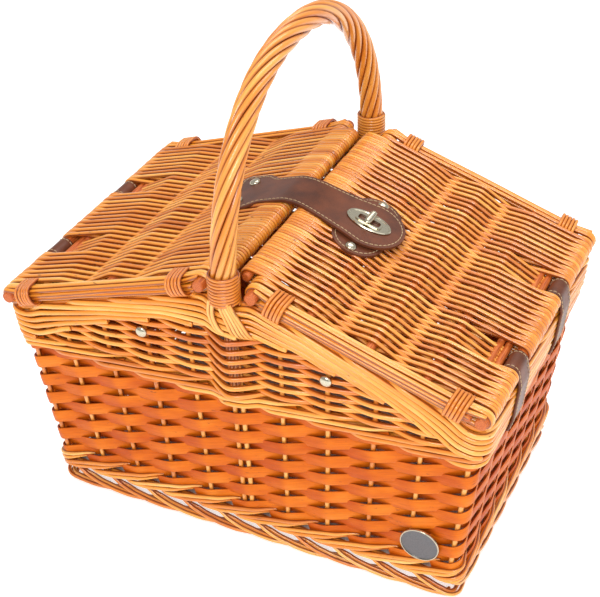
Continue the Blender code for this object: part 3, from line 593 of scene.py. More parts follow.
# ---------------------------------------------------------------- body of the basket
# Along a rod, run counts stakes from the one that it starts at.
def wall_strips():
    """Flat strips that climb from stake to stake, in front of one and behind the next."""
    bundle = Bundle(11)
    rng = bundle.rng
    steps = 230
    run = np.linspace(-0.45, 12.35, steps)
    phase = np.mod(run, 2.0)
    zigzag = 2 * np.abs(phase - 1.0) - 1
    going_in = soften(np.where(phase < 1.0, 1.0, -1.0), 2)
    swing = STAKE_DEPTH + soften(STRIP_SWING * zigzag, 2)
    for k in range(STAKES):
        z = WALL_LOW - 0.0015 + run * STRIP_RISE + wander(rng, steps, 0.00035)
        path, normals = weave_place(k + run, z, swing + wander(rng, steps, 0.00010))
        width = STRIP_HALF_WIDTH * rng.uniform(0.97, 1.03) + wander(rng, steps, 0.00012)
        # painted light and shade: segments where the strip goes in are painted lighter, as if lit from the
        # right, and the strip is painted darker where it dips behind a stake
        tone = np.clip(rng.uniform(0.42, 0.64) + 0.11 * going_in + 0.12 * zigzag, 0.0, 1.0)
        bundle.sweep(path, normals, width, STRIP_HALF_THICKNESS, STRIP_SECTION, tint=tone)
    bundle.make("wall_strips", "strip", "wall_weave", slot="split_wood")


def wall_stakes():
    """Uprights from the lower wale to the rim; the long sides' middle ones are doubled."""
    bundle = Bundle(12)
    steps = 24
    for k in range(STAKES):
        (x,), (long_side,) = side_of([k], 0.2, 0.012)
        z = np.linspace(0.0225, rim_low(x) + 0.012 if long_side else 0.190, steps)
        flat = np.interp(z, [WALL_HIGH, WALL_HIGH + 0.01], [0.85, 1.0])
        for shift in (-0.0045, 0.0028) if k in (0, STAKES // 2) else (0.0,):
            t = stake_t(k) + shift + wander(bundle.rng, steps, 0.0003)
            path, normals = ring_place(t, z, STAKE_DEPTH)
            width = STAKE_RADIUS * bundle.rng.uniform(0.92, 1.06)
            bundle.sweep(path, normals, width, width * flat)
    bundle.make("wall_stakes", "stake")


def wale_depth(run, end, depths):
    """A wale rod comes from behind a stake, runs along the face and ends tucked in."""
    return soften(np.interp(run, [WALE_START, -0.60, -0.25, end - 0.5, end], depths), 3)


def lower_wale():
    """Pairs of round rods, one pair from each stake, that climb over the wale and end on top."""
    bundle = Bundle(13)
    rng = bundle.rng
    steps = 44
    for k in range(STAKES):
        for pair in (0, 1):
            end = 1.72 + rng.uniform(-0.06, 0.06) - 0.20 * pair
            run = np.linspace(WALE_START, end, steps)
            z = 0.0262 + 0.0100 * run - 0.0046 * pair + wander(rng, steps, 0.00015)
            out = wale_depth(run, end, [-0.0080, -0.0074, 0.0004, 0.0006, -0.0048])
            path, normals = weave_place(k + run, soften(np.clip(z, 0.0236, 0.0424), 3), out)
            taper = np.interp(run, [end - 0.6, end], [1.0, 0.55])
            bundle.sweep(path, normals, LOWER_WALE_RADIUS * rng.uniform(0.93, 1.05) * taper)
    bundle.make("lower_wale_rods", "pale", "lower_wale")


def upper_wale():
    """Stouter rods between the wall and the gables, each rising over two stakes."""
    bundle = Bundle(14)
    rng = bundle.rng
    steps = 48
    inner = np.linspace(-0.6, 1.6, 30)
    for k in range(STAKES):
        end = 2.45 + rng.uniform(-0.1, 0.1)
        run = np.linspace(WALE_START, end, steps)
        z = soften(np.interp(run, [WALE_START, -0.5, end - 0.3, end], [0.1622, 0.1626, 0.1762, 0.1772]), 3)
        out = wale_depth(run, end, [-0.0085, -0.0075, 0.0006, 0.0008, -0.0045])
        taper = np.interp(run, [end - 0.7, end], [1.0, 0.55])
        path, normals = weave_place(k + run, z + wander(rng, steps, 0.0002), out)
        path = over_leg(path, normals, 0.0045)
        bundle.sweep(path, normals, UPPER_WALE_RADIUS * rng.uniform(0.94, 1.06) * taper)
        path, normals = weave_place(k + inner, np.linspace(0.1635, 0.1745, 30), -0.0092)
        bundle.sweep(path, normals, UPPER_WALE_INNER_RADIUS, sides=6)
    bundle.make("upper_wale_rods", "pale", "upper_wale")


def foot_border():
    """Rod pairs that come down at each stake and sweep along the ground to the right."""
    bundle = Bundle(15)
    rng = bundle.rng
    steps = 60
    runs = [0.0, 0.04, 0.15, 0.40, 0.75, 1.20, 1.60, 2.00, 2.40]
    levels = [0.0265, 0.0218, 0.0188, 0.0142, 0.0098, 0.0062, 0.0042, 0.0030, 0.0024]
    depths = [-0.0040, -0.0036, -0.0026, -0.0010, 0.0004, 0.0006, 0.0000, -0.0030, -0.0062]
    run = np.linspace(0.0, 1.0, steps) ** 1.25 * 2.35
    for k in range(STAKES):
        for pair in (0, 1):
            z = np.maximum(soften(np.interp(run, runs, levels) - 0.0006 * pair, 2), 0.0023)
            out = np.interp(run, runs, depths) - 0.0046 * pair * np.clip(run * 2, 0, 1)
            t = stake_t(k + run) + (0.0024 - 0.0048 * pair) * (1 - np.clip(run * 2.5, 0, 1))
            path, normals = ring_place(t, z + wander(rng, steps, 0.00015), soften(out, 3))
            bundle.sweep(path, normals, FOOT_ROD_RADIUS * rng.uniform(0.94, 1.06))
    bundle.make("foot_border_rods", "pale", "foot_border")


def gable(label, side):
    """Plain weave of round rods between the upper wale and the rim of one long side."""
    bundle = Bundle(16 if side < 0 else 17)
    rng = bundle.rng
    middle = 0.0 if side < 0 else HALF
    steps = 130
    for row in range(GABLE_ROWS):
        z_row = GABLE_LOW + GABLE_PITCH * row
        edge = np.interp(0.005 - z_row, -np.array(RIM_EDGE_Z), RIM_EDGE_X)
        reach = min(edge / STAKE_STEP + 0.25, 4.9)
        q = np.linspace(-reach, reach, steps)
        wave = np.cos(pi * (q + row))
        out = STAKE_DEPTH + soften(GABLE_SWING * np.sign(wave) * np.abs(wave) ** 0.9, 1)
        tent = np.clip(1.0 - np.abs(q * STAKE_STEP) / 0.024, 0.0, 1.0)
        out = soften(out + GABLE_LEG_SWING[row % 2] * tent, 2)
        path, normals = weave_place(middle + q, z_row + wander(rng, steps, 0.00025), out)
        bundle.sweep(path, normals, GABLE_ROD_RADIUS * rng.uniform(0.94, 1.04))
    bundle.make(f"gable_{label}_rods", "rod", f"gable_{label}")


def rim():
    """Border laid from the stakes' own ends, each running past the next five stakes."""
    bundle = Bundle(18)
    rng = bundle.rng
    steps = 90
    start, end = -0.55, RIM_LAY
    run = np.linspace(start, end, steps)
    level = soften(np.interp(run, [start, 0.0, 0.5, end], [0.15, 0.80, 0.93, 0.07]), 3)
    out = np.interp(run, [start, 0.05, 0.55, end - 0.3, end], [-0.0080, -0.0060, 0.0011, 0.0014, 0.0016])
    for k in range(STAKES):
        path, normals = rim_place(k + run, level + wander(rng, steps, 0.008), soften(out, 3))
        path = over_leg(path, normals, 0.0050, 0.016)
        thick = RIM_ROD_RADIUS * rng.uniform(0.92, 1.04)
        bundle.sweep(path, normals, thick, sides=9, tint=rng.uniform(0.30, 1.0))
    run = np.linspace(-0.2, RIM_LAY, 50)
    level = soften(np.interp(run, [-0.2, 0.4, RIM_LAY], [0.75, 0.90, 0.08]), 2)
    for k in range(STAKES):
        path, normals = rim_place(k + run, level, -0.0070)
        bundle.sweep(path, normals, RIM_INNER_RADIUS, sides=6)
    path, normals = rim_place(np.linspace(0, STAKES, 240, endpoint=False), 0.93, -0.0030)
    bundle.sweep(path, normals, 0.0024, closed=True)
    bundle.make("rim_rods", "pale", "rim_front", "rim_back", "rim_left", "rim_right")


# ---------------------------------------------------------------- handle
def bow_curve(turn):
    across, up = np.cos(turn), np.maximum(np.sin(turn), 0.0)
    y = -HANDLE_FOOT_Y * np.sign(across) * np.abs(across) ** BOW_FULLNESS
    return np.stack([HANDLE_LEAN * up ** 2, y, HANDLE_FOOT_Z + HANDLE_RISE * up ** BOW_FULLNESS], 1)


def leg_curve(side, z):
    """Centre line of the bow's leg: inside the gable weave, then out to the bow's foot."""
    out = np.interp(z, [0.178, 0.235, 0.258, 0.2706, 0.280], [-0.0008, 0.0004, 0.0017, 0.0025, 0.0027])
    return np.stack([np.zeros_like(z), side * (half_width(z) + out), z], 1)


def handle_line():
    """The whole handle from the front leg's bottom over the bow to the back leg's bottom."""
    legs = np.linspace(LEG_BOTTOM_Z, HANDLE_FOOT_Z - 0.002, 22)
    arch = bow_curve(np.linspace(0.0, pi, 150))
    return soften(np.concatenate([leg_curve(-1, legs), arch, leg_curve(1, legs)[::-1]]), 3)


def handle():
    """Twisted bundle of stout rods round a core."""
    bundle = Bundle(21)
    rng = bundle.rng
    line = handle_line()
    length = run_along(line)
    tangent = unit(np.gradient(line, axis=0))
    first = unit(np.cross(tangent, np.cross(np.array([1.0, 0.0, 0.0]), tangent)))
    second = np.cross(tangent, first)
    thickness = HANDLE_RADIUS * np.interp(line[:, 2], [0.262, 0.269, 0.273, 0.30], [0.47, 0.56, 0.95, 1.0])
    strand = thickness * 0.268
    lay = thickness - strand
    for k in range(HANDLE_STRANDS):
        angle = 2 * pi * (k / HANDLE_STRANDS + length / HANDLE_TWIST) + wander(rng, len(line), 0.03)
        around = first * np.cos(angle)[:, None] + second * np.sin(angle)[:, None]
        bundle.sweep(line + around * lay[:, None], around, strand * rng.uniform(0.96, 1.04), sides=12,
                     tint=rng.uniform(0.35, 0.90))
    bundle.sweep(line, first, lay * 0.80, tint=0.0)
    bundle.make("handle_rods", "handle", "handle_bow")


def handle_binding(label, side):
    """Cane wound round the bow's foot, and its tails tucked down over the rim."""
    bundle = Bundle(22 if side < 0 else 23)
    rng = bundle.rng
    per_turn = 26
    count = BINDING_TURNS * per_turn + 1
    z = np.linspace(BINDING[0] + 0.0012, BINDING[1] - 0.0010, count)
    turn = np.arcsin(np.clip((z - HANDLE_FOOT_Z) / HANDLE_RISE, 0.0, 1.0) ** (1 / BOW_FULLNESS))
    on_bow = bow_curve(turn if side < 0 else pi - turn)
    centre = np.where((z < HANDLE_FOOT_Z)[:, None], leg_curve(side, z), on_bow)
    angle = 2 * pi * np.arange(count) / per_turn
    around = np.stack([np.cos(angle), np.sin(angle), np.zeros(count)], 1)
    tilt = (turn * 0.5 * np.sin(angle))[:, None] * np.array([0.0, 0.0, 1.0])
    path = centre + (around + tilt * side * 0.3) * (HANDLE_RADIUS * 0.99 + BINDING_ROD_RADIUS)
    bundle.sweep(path, around, BINDING_ROD_RADIUS * 1.02, BINDING_ROD_RADIUS * 0.9)
    share = np.linspace(0.0, 1.0, 34)
    height = np.interp(share, [0, 0.12, 1.0], [0.2760, 0.2706, 0.2340])
    foot = soften(np.interp(height, [0.2340, 0.2400, 0.2470, 0.2580, 0.2640, 0.2706, 0.2760],
                            [-0.0010, 0.0064, 0.0098, 0.0112, 0.0118, 0.0123, 0.0126]), 2)
    for top, bottom, spread in BINDING_TAILS:
        x = -side * (top + (bottom - top) * share ** 1.3 + spread * np.sin(pi * share))
        y = side * (half_width(height) + foot - 0.0040 * np.clip(np.abs(x) / 0.022, 0, 1) ** 2)
        radius = BINDING_TAIL_RADIUS * rng.uniform(0.95, 1.05)
        bundle.sweep(np.stack([x, y, height], 1), (0.0, side, 0.2), radius, BINDING_ROD_RADIUS,
                     tint=rng.uniform(0.75, 1.0))
    bundle.make(f"handle_binding_{label}_cane", "pale", f"handle_binding_{label}")


# ---------------------------------------------------------------- lids
def lid_point(side, u, w):
    """World x and z of a point u from a lid's hinge along it and w above its middle plane."""
    x = HINGE_X - u * cos(LID_TILT) + w * sin(LID_TILT)
    return side * x, HINGE_Z + u * sin(LID_TILT) + w * cos(LID_TILT)


def lid_path(side, u, y, w):
    u, y, w = np.broadcast_arrays(np.asarray(u, float), np.asarray(y, float), np.asarray(w, float))
    x, z = lid_point(side, u, w)
    return np.stack([x, y, z], 1)


def lid_normal(side):
    return np.array([side * sin(LID_TILT), 0.0, cos(LID_TILT)])


def lid_along(side):
    return np.array([-side * cos(LID_TILT), 0.0, sin(LID_TILT)])


def profile_normals(side, path):
    """Normals, square to the path, of one that lies across a lid's thickness."""
    across = np.cross(lid_normal(side), lid_along(side))
    return unit(np.cross(unit(np.gradient(path, axis=0)), across))


def stick_wrap(centre_u, outward, radius, first=0, last=180, steps=11):
    """Part of a circle round a stick as (u, w); angles run from the top, outward first."""
    angle = np.radians(np.linspace(first, last, steps))
    return [(centre_u + outward * radius * sin(a), radius * cos(a)) for a in angle]


def lid_row_profile(parity, radius, ends_open, to_edge):
    """(u, w) points of one weaving rod from the end stick's underside to the edge stick's."""
    wrap = STICK_RADIUS + radius * 1.02
    if ends_open:
        points = [(0.0125, -0.0045), (0.0150, -0.0010)]
    else:
        points = [(0.014, -wrap * 0.93)] + stick_wrap(0.0, -1, wrap, 180, 0)
    for number, from_ridge in enumerate(reversed(STAKE_FROM_RIDGE)):
        points.append((LID_SPAN - from_ridge, LID_SWING if (number + parity) % 2 == 0 else -LID_SWING))
    if to_edge:
        turn = EDGE_STICK_RADIUS + radius
        points += stick_wrap(LID_SPAN, 1, wrap * 0.97, -12, 12, 5) + stick_wrap(EDGE_SPAN, 1, turn)
        return points + [(EDGE_SPAN - 0.012, -turn * 1.25)]
    return points + stick_wrap(LID_SPAN, 1, wrap) + [(LID_SPAN - 0.014, -wrap * 0.93)]


def lid_weave(prefix, side):
    """Rods in plain weave over three stakes, turned round the sticks at both ends."""
    bundle = Bundle(31 if side < 0 else 32)
    rng = bundle.rng
    pitch = 2 * WEAVE_HALF_WIDTH / LID_ROWS
    for row in range(LID_ROWS):
        y = -WEAVE_HALF_WIDTH + (row + 0.5) * pitch
        open_end = any(abs(y - strap) < STRAP_WIDTH / 2 + 0.0022 for strap in STRAP_Y)
        radius = LID_ROD_RADIUS * rng.uniform(0.93, 1.08)
        profile = lid_row_profile(row, radius, open_end, abs(y) < EDGE_HALF_WIDTH)
        u, w = soften(resample(profile, 0.0020), 2).T
        drift = wander(rng, len(u), 0.00022) + 0.0002 * np.clip(-w / 0.005, -1, 1)
        path = lid_path(side, u, y + drift, w)
        bundle.sweep(path, profile_normals(side, path), radius)
    bundle.make(f"{prefix}_weave_rods", "lid", f"{prefix}_weave", body=prefix)


def rod_along_y(bundle, side, u, w, half, radius, sides):
    path = lid_path(side, u, np.linspace(-half, half, 14), w)
    bundle.sweep(path, lid_normal(side), radius, sides=sides, dome=0.12)


def lid_sticks(prefix, side):
    sticks = (("ridge", LID_SPAN, RIDGE_STICK_HALF, STICK_RADIUS), ("end", 0.0, END_STICK_HALF, STICK_RADIUS),
              ("edge", EDGE_SPAN, EDGE_STICK_HALF, EDGE_STICK_RADIUS))
    for number, (name, u, half, radius) in enumerate(sticks):
        bundle = Bundle(33 + side + 2 * number)
        rod_along_y(bundle, side, u, 0.0, half, radius, 18)
        node = f"{prefix}_{name}_stick"
        bundle.make(node + "_wood", "stick", node, body=prefix, slot="stick")
    bundle = Bundle(41 + side)
    for from_ridge in STAKE_FROM_RIDGE:
        rod_along_y(bundle, side, LID_SPAN - from_ridge, 0.0, LID_STAKE_HALF, LID_STAKE_RADIUS, 10)
    for u in (0.0118, 0.0188):
        rod_along_y(bundle, side, u, -0.0012, END_STICK_HALF - 0.0005, 0.0032, 12)
    bundle.make(f"{prefix}_stake_rods", "stick", *(f"{prefix}_stake_{k}" for k in (1, 2, 3)),
                body=prefix, slot="stick")


def lid_rail(prefix, side, label, world):
    """Rods along a lid's long edge; the upper ones turn round both sticks."""
    bundle = Bundle(51 + side + (4 if world > 0 else 0))
    rng = bundle.rng
    lanes = [RAIL[0] + 0.0004 + RAIL_ROD_RADIUS * (0.45 + 1.85 * k) for k in range(3)]
    for number, (lane, level) in enumerate(zip(lanes, (0.0034, 0.0048, 0.0032))):
        radius = RAIL_ROD_RADIUS * rng.uniform(0.93, 1.05)
        wrap = STICK_RADIUS + radius
        if number < 2:
            shape = [(0.013, -wrap)] + stick_wrap(0.0, -1, wrap, 180, 0)
            shape += [(0.030, level), (LID_SPAN - 0.030, level)]
            shape += stick_wrap(LID_SPAN, 1, wrap) + [(LID_SPAN - 0.013, -wrap)]
        else:
            shape = [(-0.002, 0.0066), (0.016, level), (LID_SPAN - 0.016, level), (LID_SPAN + 0.001, 0.0066)]
        u, w = soften(resample(shape, 0.003), 2).T
        path = lid_path(side, u, world * (lane + wander(rng, len(u), 0.0003)), w)
        bundle.sweep(path, profile_normals(side, path), radius, tint=rng.uniform(0.35, 1.0))
    steps = 50
    u = np.linspace(0.011, LID_SPAN - 0.008, steps)
    for lane, level in ((lanes[0] + 0.001, -0.0010), (lanes[2] + 0.0006, -0.0008), (lanes[1], -0.0050),
                        (lanes[2] - 0.0004, -0.0046), (lanes[1], -0.0014)):
        y = world * (lane + wander(rng, steps, 0.0003))
        path = lid_path(side, u, y, level + wander(rng, steps, 0.0003))
        radius = RAIL_ROD_RADIUS * rng.uniform(0.9, 1.0)
        bundle.sweep(path, lid_normal(side), radius, tint=rng.uniform(0.35, 1.0))
    node = f"{prefix}_{label}_rail"
    bundle.make(node + "_rods", "pale", node, body=prefix)


def lashing(prefix, side, label, world, end, centre):
    """Turns of cane round the rail, wound as a flat helix."""
    bundle = Bundle(61 + side + (4 if world > 0 else 0) + (8 if end == "end" else 0))
    rng = bundle.rng
    low, high = RAIL[0] - 0.0085, RAIL[1] + 0.0012
    top, bottom = 0.0088, -0.0080
    loop = [(low, -0.002), (low, 0.0035), (low + 0.004, top), (high - 0.003, top), (high + 0.0012, 0.0050),
            (high + 0.0012, -0.0035), (high - 0.003, bottom), (low + 0.003, bottom), (low, -0.002)]
    turns = soften(np.concatenate([resample(loop, 0.0021)[:-1]] * LASHING_TURNS), 2)
    share = np.linspace(-0.5, 0.5, len(turns))
    u = centre + share * LASHING_TURNS * 2 * LASHING_RADIUS * 0.98 + wander(rng, len(turns), 0.0002)
    path = lid_path(side, u, world * turns[:, 0], turns[:, 1])
    middle = lid_path(side, u, world * (low + high) / 2, 0.0)
    tint = rng.uniform(0.45, 0.80)
    bundle.sweep(path, unit(path - middle), LASHING_RADIUS, LASHING_RADIUS * 0.85, tint=tint)
    node = f"{prefix}_{label}_{end}_lashing"
    bundle.make(node + "_cane", "rod", node, body=prefix)


def lid(prefix, side):
    lid_weave(prefix, side)
    lid_sticks(prefix, side)
    for label, world in (("front", -1), ("back", 1)):
        lid_rail(prefix, side, label, world)
        lashing(prefix, side, label, world, "ridge", LID_SPAN - LASHING_FROM_RIDGE)
        lashing(prefix, side, label, world, "end", LASHING_FROM_END)


# ---------------------------------------------------------------- leather
def ribbon(name, stations):
    """Mesh of a leather strip; stations are rows of points across its top face."""
    columns = len(stations[0])
    faces = []
    for row in range(len(stations) - 1):
        for a in range(row * columns, (row + 1) * columns - 1):
            faces.append((a, a + columns, a + columns + 1, a + 1))
    mesh = bpy.data.meshes.new(name)
    mesh.from_pydata([tuple(p) for row in stations for p in row], [], faces)
    obj = linked(name, mesh)
    solid = obj.modifiers.new("Solidify", "SOLIDIFY")
    solid.thickness = LEATHER
    solid.offset = -1.0
    edge = obj.modifiers.new("Bevel", "BEVEL")
    edge.width = 0.0006
    edge.segments = 2
    edge.limit_method = "ANGLE"
    edge.angle_limit = radians(50)
    return baked(obj, name)


def baked(obj, name):
    """Replaces an object with modifiers by its plain mesh."""
    bpy.context.view_layer.update()
    mesh = bpy.data.meshes.new_from_object(obj.evaluated_get(bpy.context.evaluated_depsgraph_get()))
    mesh.name = name
    bpy.data.objects.remove(obj, do_unlink=True)
    smoothed(mesh, radians(40))
    mesh.materials.clear()
    return mesh


def smoothed(mesh, angle):
    for polygon in mesh.polygons:
        polygon.use_smooth = True
    mesh.set_sharp_from_angle(angle=angle)


def stitches(bundle, path, normals):
    """Short lengths of thread laid along a path, sunk a little into the leather."""
    normals = np.broadcast_to(np.asarray(normals, float), path.shape)
    run = run_along(path)
    count = int(run[-1] / (STITCH_LENGTH + STITCH_GAP))
    step = run[-1] / max(count, 1)
    profile = np.array([-0.00020, 0.00012, 0.00018, 0.00012, -0.00020])
    for k in range(count):
        at = k * step + STITCH_GAP / 2 + np.linspace(0.0, step - STITCH_GAP, len(profile))
        out = unit(read_off(at, run, normals))
        bundle.sweep(read_off(at, run, path) + out * profile[:, None], out, THREAD_RADIUS, sides=6)


def hinge_loop():
    """Section, as (x, z), of a closed loop round the lid's end stick, the rim and the wall's top."""
    held = stick_wrap(HINGE_X, 1, STICK_RADIUS, 0, 345, 24)
    held = [(x, HINGE_Z + w) for x, w in held]
    for z, proud, thickness in ((RIM_CORNER_TOP, 0.0035, 0.013), (RIM_CORNER_LOW, 0.0035, 0.013),
                                (WALL_HIGH, 0.0015, 0.011)):
        outer = half_length(z) + proud
        held += [(outer, z), (outer - thickness, z + thickness * END_LEAN)]
    clearance = 0.0003 + STRAP_THICKNESS / 2
    outline = []
    for angle in np.linspace(0.0, 2 * pi, 56, endpoint=False):
        ux, uz = cos(angle), sin(angle)
        far = max(held, key=lambda p: p[0] * ux + p[1] * uz)
        outline.append((far[0] + clearance * ux, far[1] + clearance * uz))
    return resample(outline + outline[:1], 0.0030)[:-1]


def hinge_strap(label, side, end, y):
    """Leather loop of a hinge, stitched along both edges."""
    loop = hinge_loop()
    centre = loop.mean(0)
    path = np.stack([side * loop[:, 0], np.full(len(loop), y), loop[:, 1]], 1)
    normals = np.cross(loop_tangent(path), (0.0, 1.0, 0.0))
    normals *= np.sign(np.sum(normals * (path - (side * centre[0], y, centre[1])), axis=1))[:, None]
    node = f"hinge_strap_{label}_{end}"
    bundle = Bundle(71)
    bundle.sweep(path, normals, STRAP_WIDTH / 2, STRAP_THICKNESS / 2, STRAP_SECTION, closed=True)
    bundle.make(node + "_leather", "leather", node, slot="leather")
    sewing = Bundle(72)
    top = path + normals * (STRAP_THICKNESS / 2)
    for edge in (-1, 1):
        line = top + (0.0, edge * (STRAP_WIDTH / 2 - 0.0026), 0.0)
        stitches(sewing, np.concatenate([line, line[:1]]), np.concatenate([normals, normals[:1]]))
    sewing.make(node + "_stitching", "thread", slot="leather")


def strap_line():
    """Top face of the latch strap as (x, z, half width) from its riveted end to its round tip."""
    top, tip_top = STRAP_BASE_LEVEL + LEATHER, TONGUE_LEVEL + LEATHER
    start, end = LID_SPAN - TAB_FROM_RIDGE[1], LID_SPAN - TAB_FROM_RIDGE[0]
    corner = 0.007
    neck = NECK_HALF_WIDTH
    line = []
    for turn in np.radians(np.arange(0, 91, 15)):
        half = TAB_HALF_WIDTH - corner * (1 - sin(turn))
        line.append((*lid_point(-1, start + corner * (1 - cos(turn)), top), half))
    for u in np.linspace(start + 0.012, end - 0.010, 5):
        line.append((*lid_point(-1, u, top), TAB_HALF_WIDTH))
    for share in np.linspace(0.0, 1.0, 9):
        half = TAB_HALF_WIDTH + (neck - TAB_HALF_WIDTH) * (share * share * (3 - 2 * share))
        line.append((*lid_point(-1, end - 0.008 + 0.016 * share, top), half))
    for share in (0.35, 0.7):
        line.append((*lid_point(-1, LID_SPAN + EDGE_FROM_RIDGE * share, top), neck))
    x0, z0 = lid_point(-1, EDGE_SPAN - 0.001, top)
    x1, z1 = lid_point(1, EDGE_SPAN, EDGE_ROLL_RADIUS + LEATHER + 0.0004)
    for x, z, dx, dz in ((x0, z0, 0.0, 0.0), (x0, z0, 0.0035, 0.0009), (x0, z0, 0.0075, 0.0013),
                         (x1, z1, -0.0115, 0.0013), (x1, z1, -0.0055, 0.0008)):
        line.append((x + dx, z + dz, neck))
    line.append((x1, z1, neck + 0.0005))
    centre = TIP_REACH - TIP_RADIUS
    x2, z2 = lid_point(1, LID_SPAN - centre * 0.55, tip_top)
    for share in (0.2, 0.4, 0.6, 0.8, 1.0):
        line.append((x1 + (x2 - x1) * share, z1 + (z2 - z1) * share, neck + 0.0005 + 0.0035 * share ** 1.4))
    for share in (0.70, 0.85):
        half = neck + 0.004 + (TIP_RADIUS - neck - 0.004) * (share - 0.55) / 0.42
        line.append((*lid_point(1, LID_SPAN - centre * share, tip_top), half))
    for k in range(13):
        turn = radians(7.4 * k - 3)
        u = LID_SPAN - centre - TIP_RADIUS * sin(turn)
        line.append((*lid_point(1, u, tip_top), TIP_RADIUS * cos(turn)))
    return line


def strap_middle(x):
    """Middle of the strap across its width; it drifts a little between the bend and the lock."""
    return np.interp(x, [0.0, 0.045], [STRAP_MID_Y, LOCK_Y])


def latch_strap():
    """The closing strap: riveted to the left lid, bent over both ridges, with a slot for the lock."""
    line = strap_line()
    ways = (-1.0, -0.97, -0.8, -0.5, -0.25, 0.0, 0.25, 0.5, 0.8, 0.97, 1.0)
    stations = [[(x, strap_middle(x) + way * half, z) for way in ways] for x, z, half in line]
    strap = place("latch_strap_leather", ribbon("latch_strap", stations), "leather", "latch_strap_base",
                  "latch_strap_tongue", body=None, slot="leather")
    points = np.array([(x, 0.0, z) for x, z, _ in line])
    normals = unit(np.cross(unit(np.gradient(points, axis=0)), (0.0, 1.0, 0.0)))
    normals *= np.sign(normals[:, 2:3])
    run = run_along(points)
    edge = inset_outline(np.stack([run, [half for _, _, half in line]], 1), 0.0030)
    at = np.concatenate([edge[:, 0], edge[::-1, 0]])
    path = read_off(at, run, points)
    path[:, 1] = np.concatenate([edge[:, 1], -edge[::-1, 1]]) + strap_middle(path[:, 0])
    sewing = Bundle(73)
    stitches(sewing, path, unit(read_off(at, run, normals)))
    sewn = sewing.make("latch_strap_stitching", "thread", body=None, slot="leather")
    for obj in (strap, sewn):
        blend_strap(obj)


def blend_strap(obj):
    """Bakes the object's placement into its mesh."""
    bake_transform(obj)


def inset_outline(outline, inset):
    """Half outline (run, half width) moved inward, with both of its ends cut square."""
    tangent = unit(np.gradient(outline, axis=0))
    moved = outline + np.stack([tangent[:, 1], -tangent[:, 0]], 1) * inset
    low, high = outline[0, 0] + inset, outline[-1, 0] - inset
    kept = moved[(moved[:, 0] >= low) & (moved[:, 0] <= high) & (moved[:, 1] > 0.0)]
    return resample([(low, 0.0), (low, kept[0, 1] * 0.6), *kept, (high, 0.0)], 0.0015)


def latch_pad():
    """Round-ended leather pad under the lock."""
    centre = LID_SPAN - LOCK_FROM_RIDGE
    top = PAD_LEVEL + LEATHER
    straight = PAD_HALF_V - PAD_HALF_U
    stations = []
    for angle in np.radians(np.arange(0, 181, 9)):
        y = -PAD_HALF_V * cos(angle)
        half = sqrt(max(PAD_HALF_U ** 2 - max(abs(y) - straight, 0.0) ** 2, 1e-9))
        row = [lid_point(1, centre + way * half, top) for way in (-1.0, -0.9, -0.5, 0.0, 0.5, 0.9, 1.0)]
        stations.append([(x, LOCK_Y + y, z) for x, z in row])
    place("latch_pad_leather", ribbon("latch_pad", stations), "leather", "latch_pad", body="right_lid",
          slot="leather")
    sewing = Bundle(74)
    angle = np.linspace(0.0, 2 * pi, 73)
    u = centre + (PAD_HALF_U - 0.003) * np.cos(angle)
    v = np.sign(np.sin(angle) + 1e-9) * straight + (PAD_HALF_U - 0.003) * np.sin(angle)
    stitches(sewing, lid_path(1, u, LOCK_Y + v, top), lid_normal(1))
    sewing.make("latch_pad_stitching", "thread", body="right_lid", slot="leather")


# ---------------------------------------------------------------- metal pieces
def metal_piece(name, rings, closed, matrix, *replaces, body="basket", slot="nickel", look="metal"):
    """Surface through rings of points, or single points at its poles; closed joins the last to the first."""
    steps = max(len(ring) for ring in rings)
    starts = np.cumsum([0] + [len(ring) for ring in rings]).tolist()
    faces = []
    for a in range(len(rings) if closed else len(rings) - 1):
        b = (a + 1) % len(rings)
        first, second = starts[a], starts[b]
        for k in range(steps):
            n = (k + 1) % steps
            if len(rings[a]) == 1:
                faces.append((first, second + k, second + n))
            elif len(rings[b]) == 1:
                faces.append((first + n, first + k, second))
            else:
                faces.append((first + k, second + k, second + n, first + n))
    mesh = bpy.data.meshes.new(name)
    mesh.from_pydata([tuple(p) for ring in rings for p in ring], [], faces)
    mesh.transform(matrix)
    smoothed(mesh, SMOOTH_UP_TO)
    place(name, mesh, look, *replaces, body=body, slot=slot)


def turned(name, profile, matrix, *replaces, steps=40, **settings):
    """Solid of revolution about local Z from (radius, height) points."""
    angles = [2 * pi * k / steps for k in range(steps)]
    rings = [[(radius * cos(a), radius * sin(a), height) for a in (angles if radius else [0.0])]
             for radius, height in profile]
    metal_piece(name, rings, False, matrix, *replaces, **settings)


def rivet_head(radius, height):
    """Profile of a domed head from its top down to its flat underside."""
    lip = 0.0006
    curve = [(radius * sin(a), lip + (height - lip) * cos(a)) for a in np.radians(np.arange(10, 91, 10))]
    return [(0.0, height)] + curve + [(radius, 0.0), (0.0, 0.0)]


def frame_at(position, normal, across=(0.0, 1.0, 0.0)):
    """Matrix with local Z along normal and local Y close to across."""
    z = Vector(normal).normalized()
    x = Vector(across).cross(z).normalized()
    turn = Matrix((x, z.cross(x), z)).transposed().to_4x4()
    return Matrix.Translation(Vector(position)) @ turn


def lid_frame(side, u, v, w):
    x, z = lid_point(side, u, w)
    return frame_at((x, v, z), lid_normal(side))


def studs():
    for label, side in (("front", -1), ("back", 1)):
        for name, x in (("left", -STUD_X), ("right", STUD_X)):
            spot = (x, side * (half_width(STUD_Z) + 0.0012), STUD_Z)
            node = f"stud_{label}_{name}"
            matrix = frame_at(spot, (0.0, side, -SIDE_LEAN), (0.0, 0.0, 1.0))
            turned(node + "_dome", rivet_head(STUD_RADIUS, 0.0040), matrix, node)


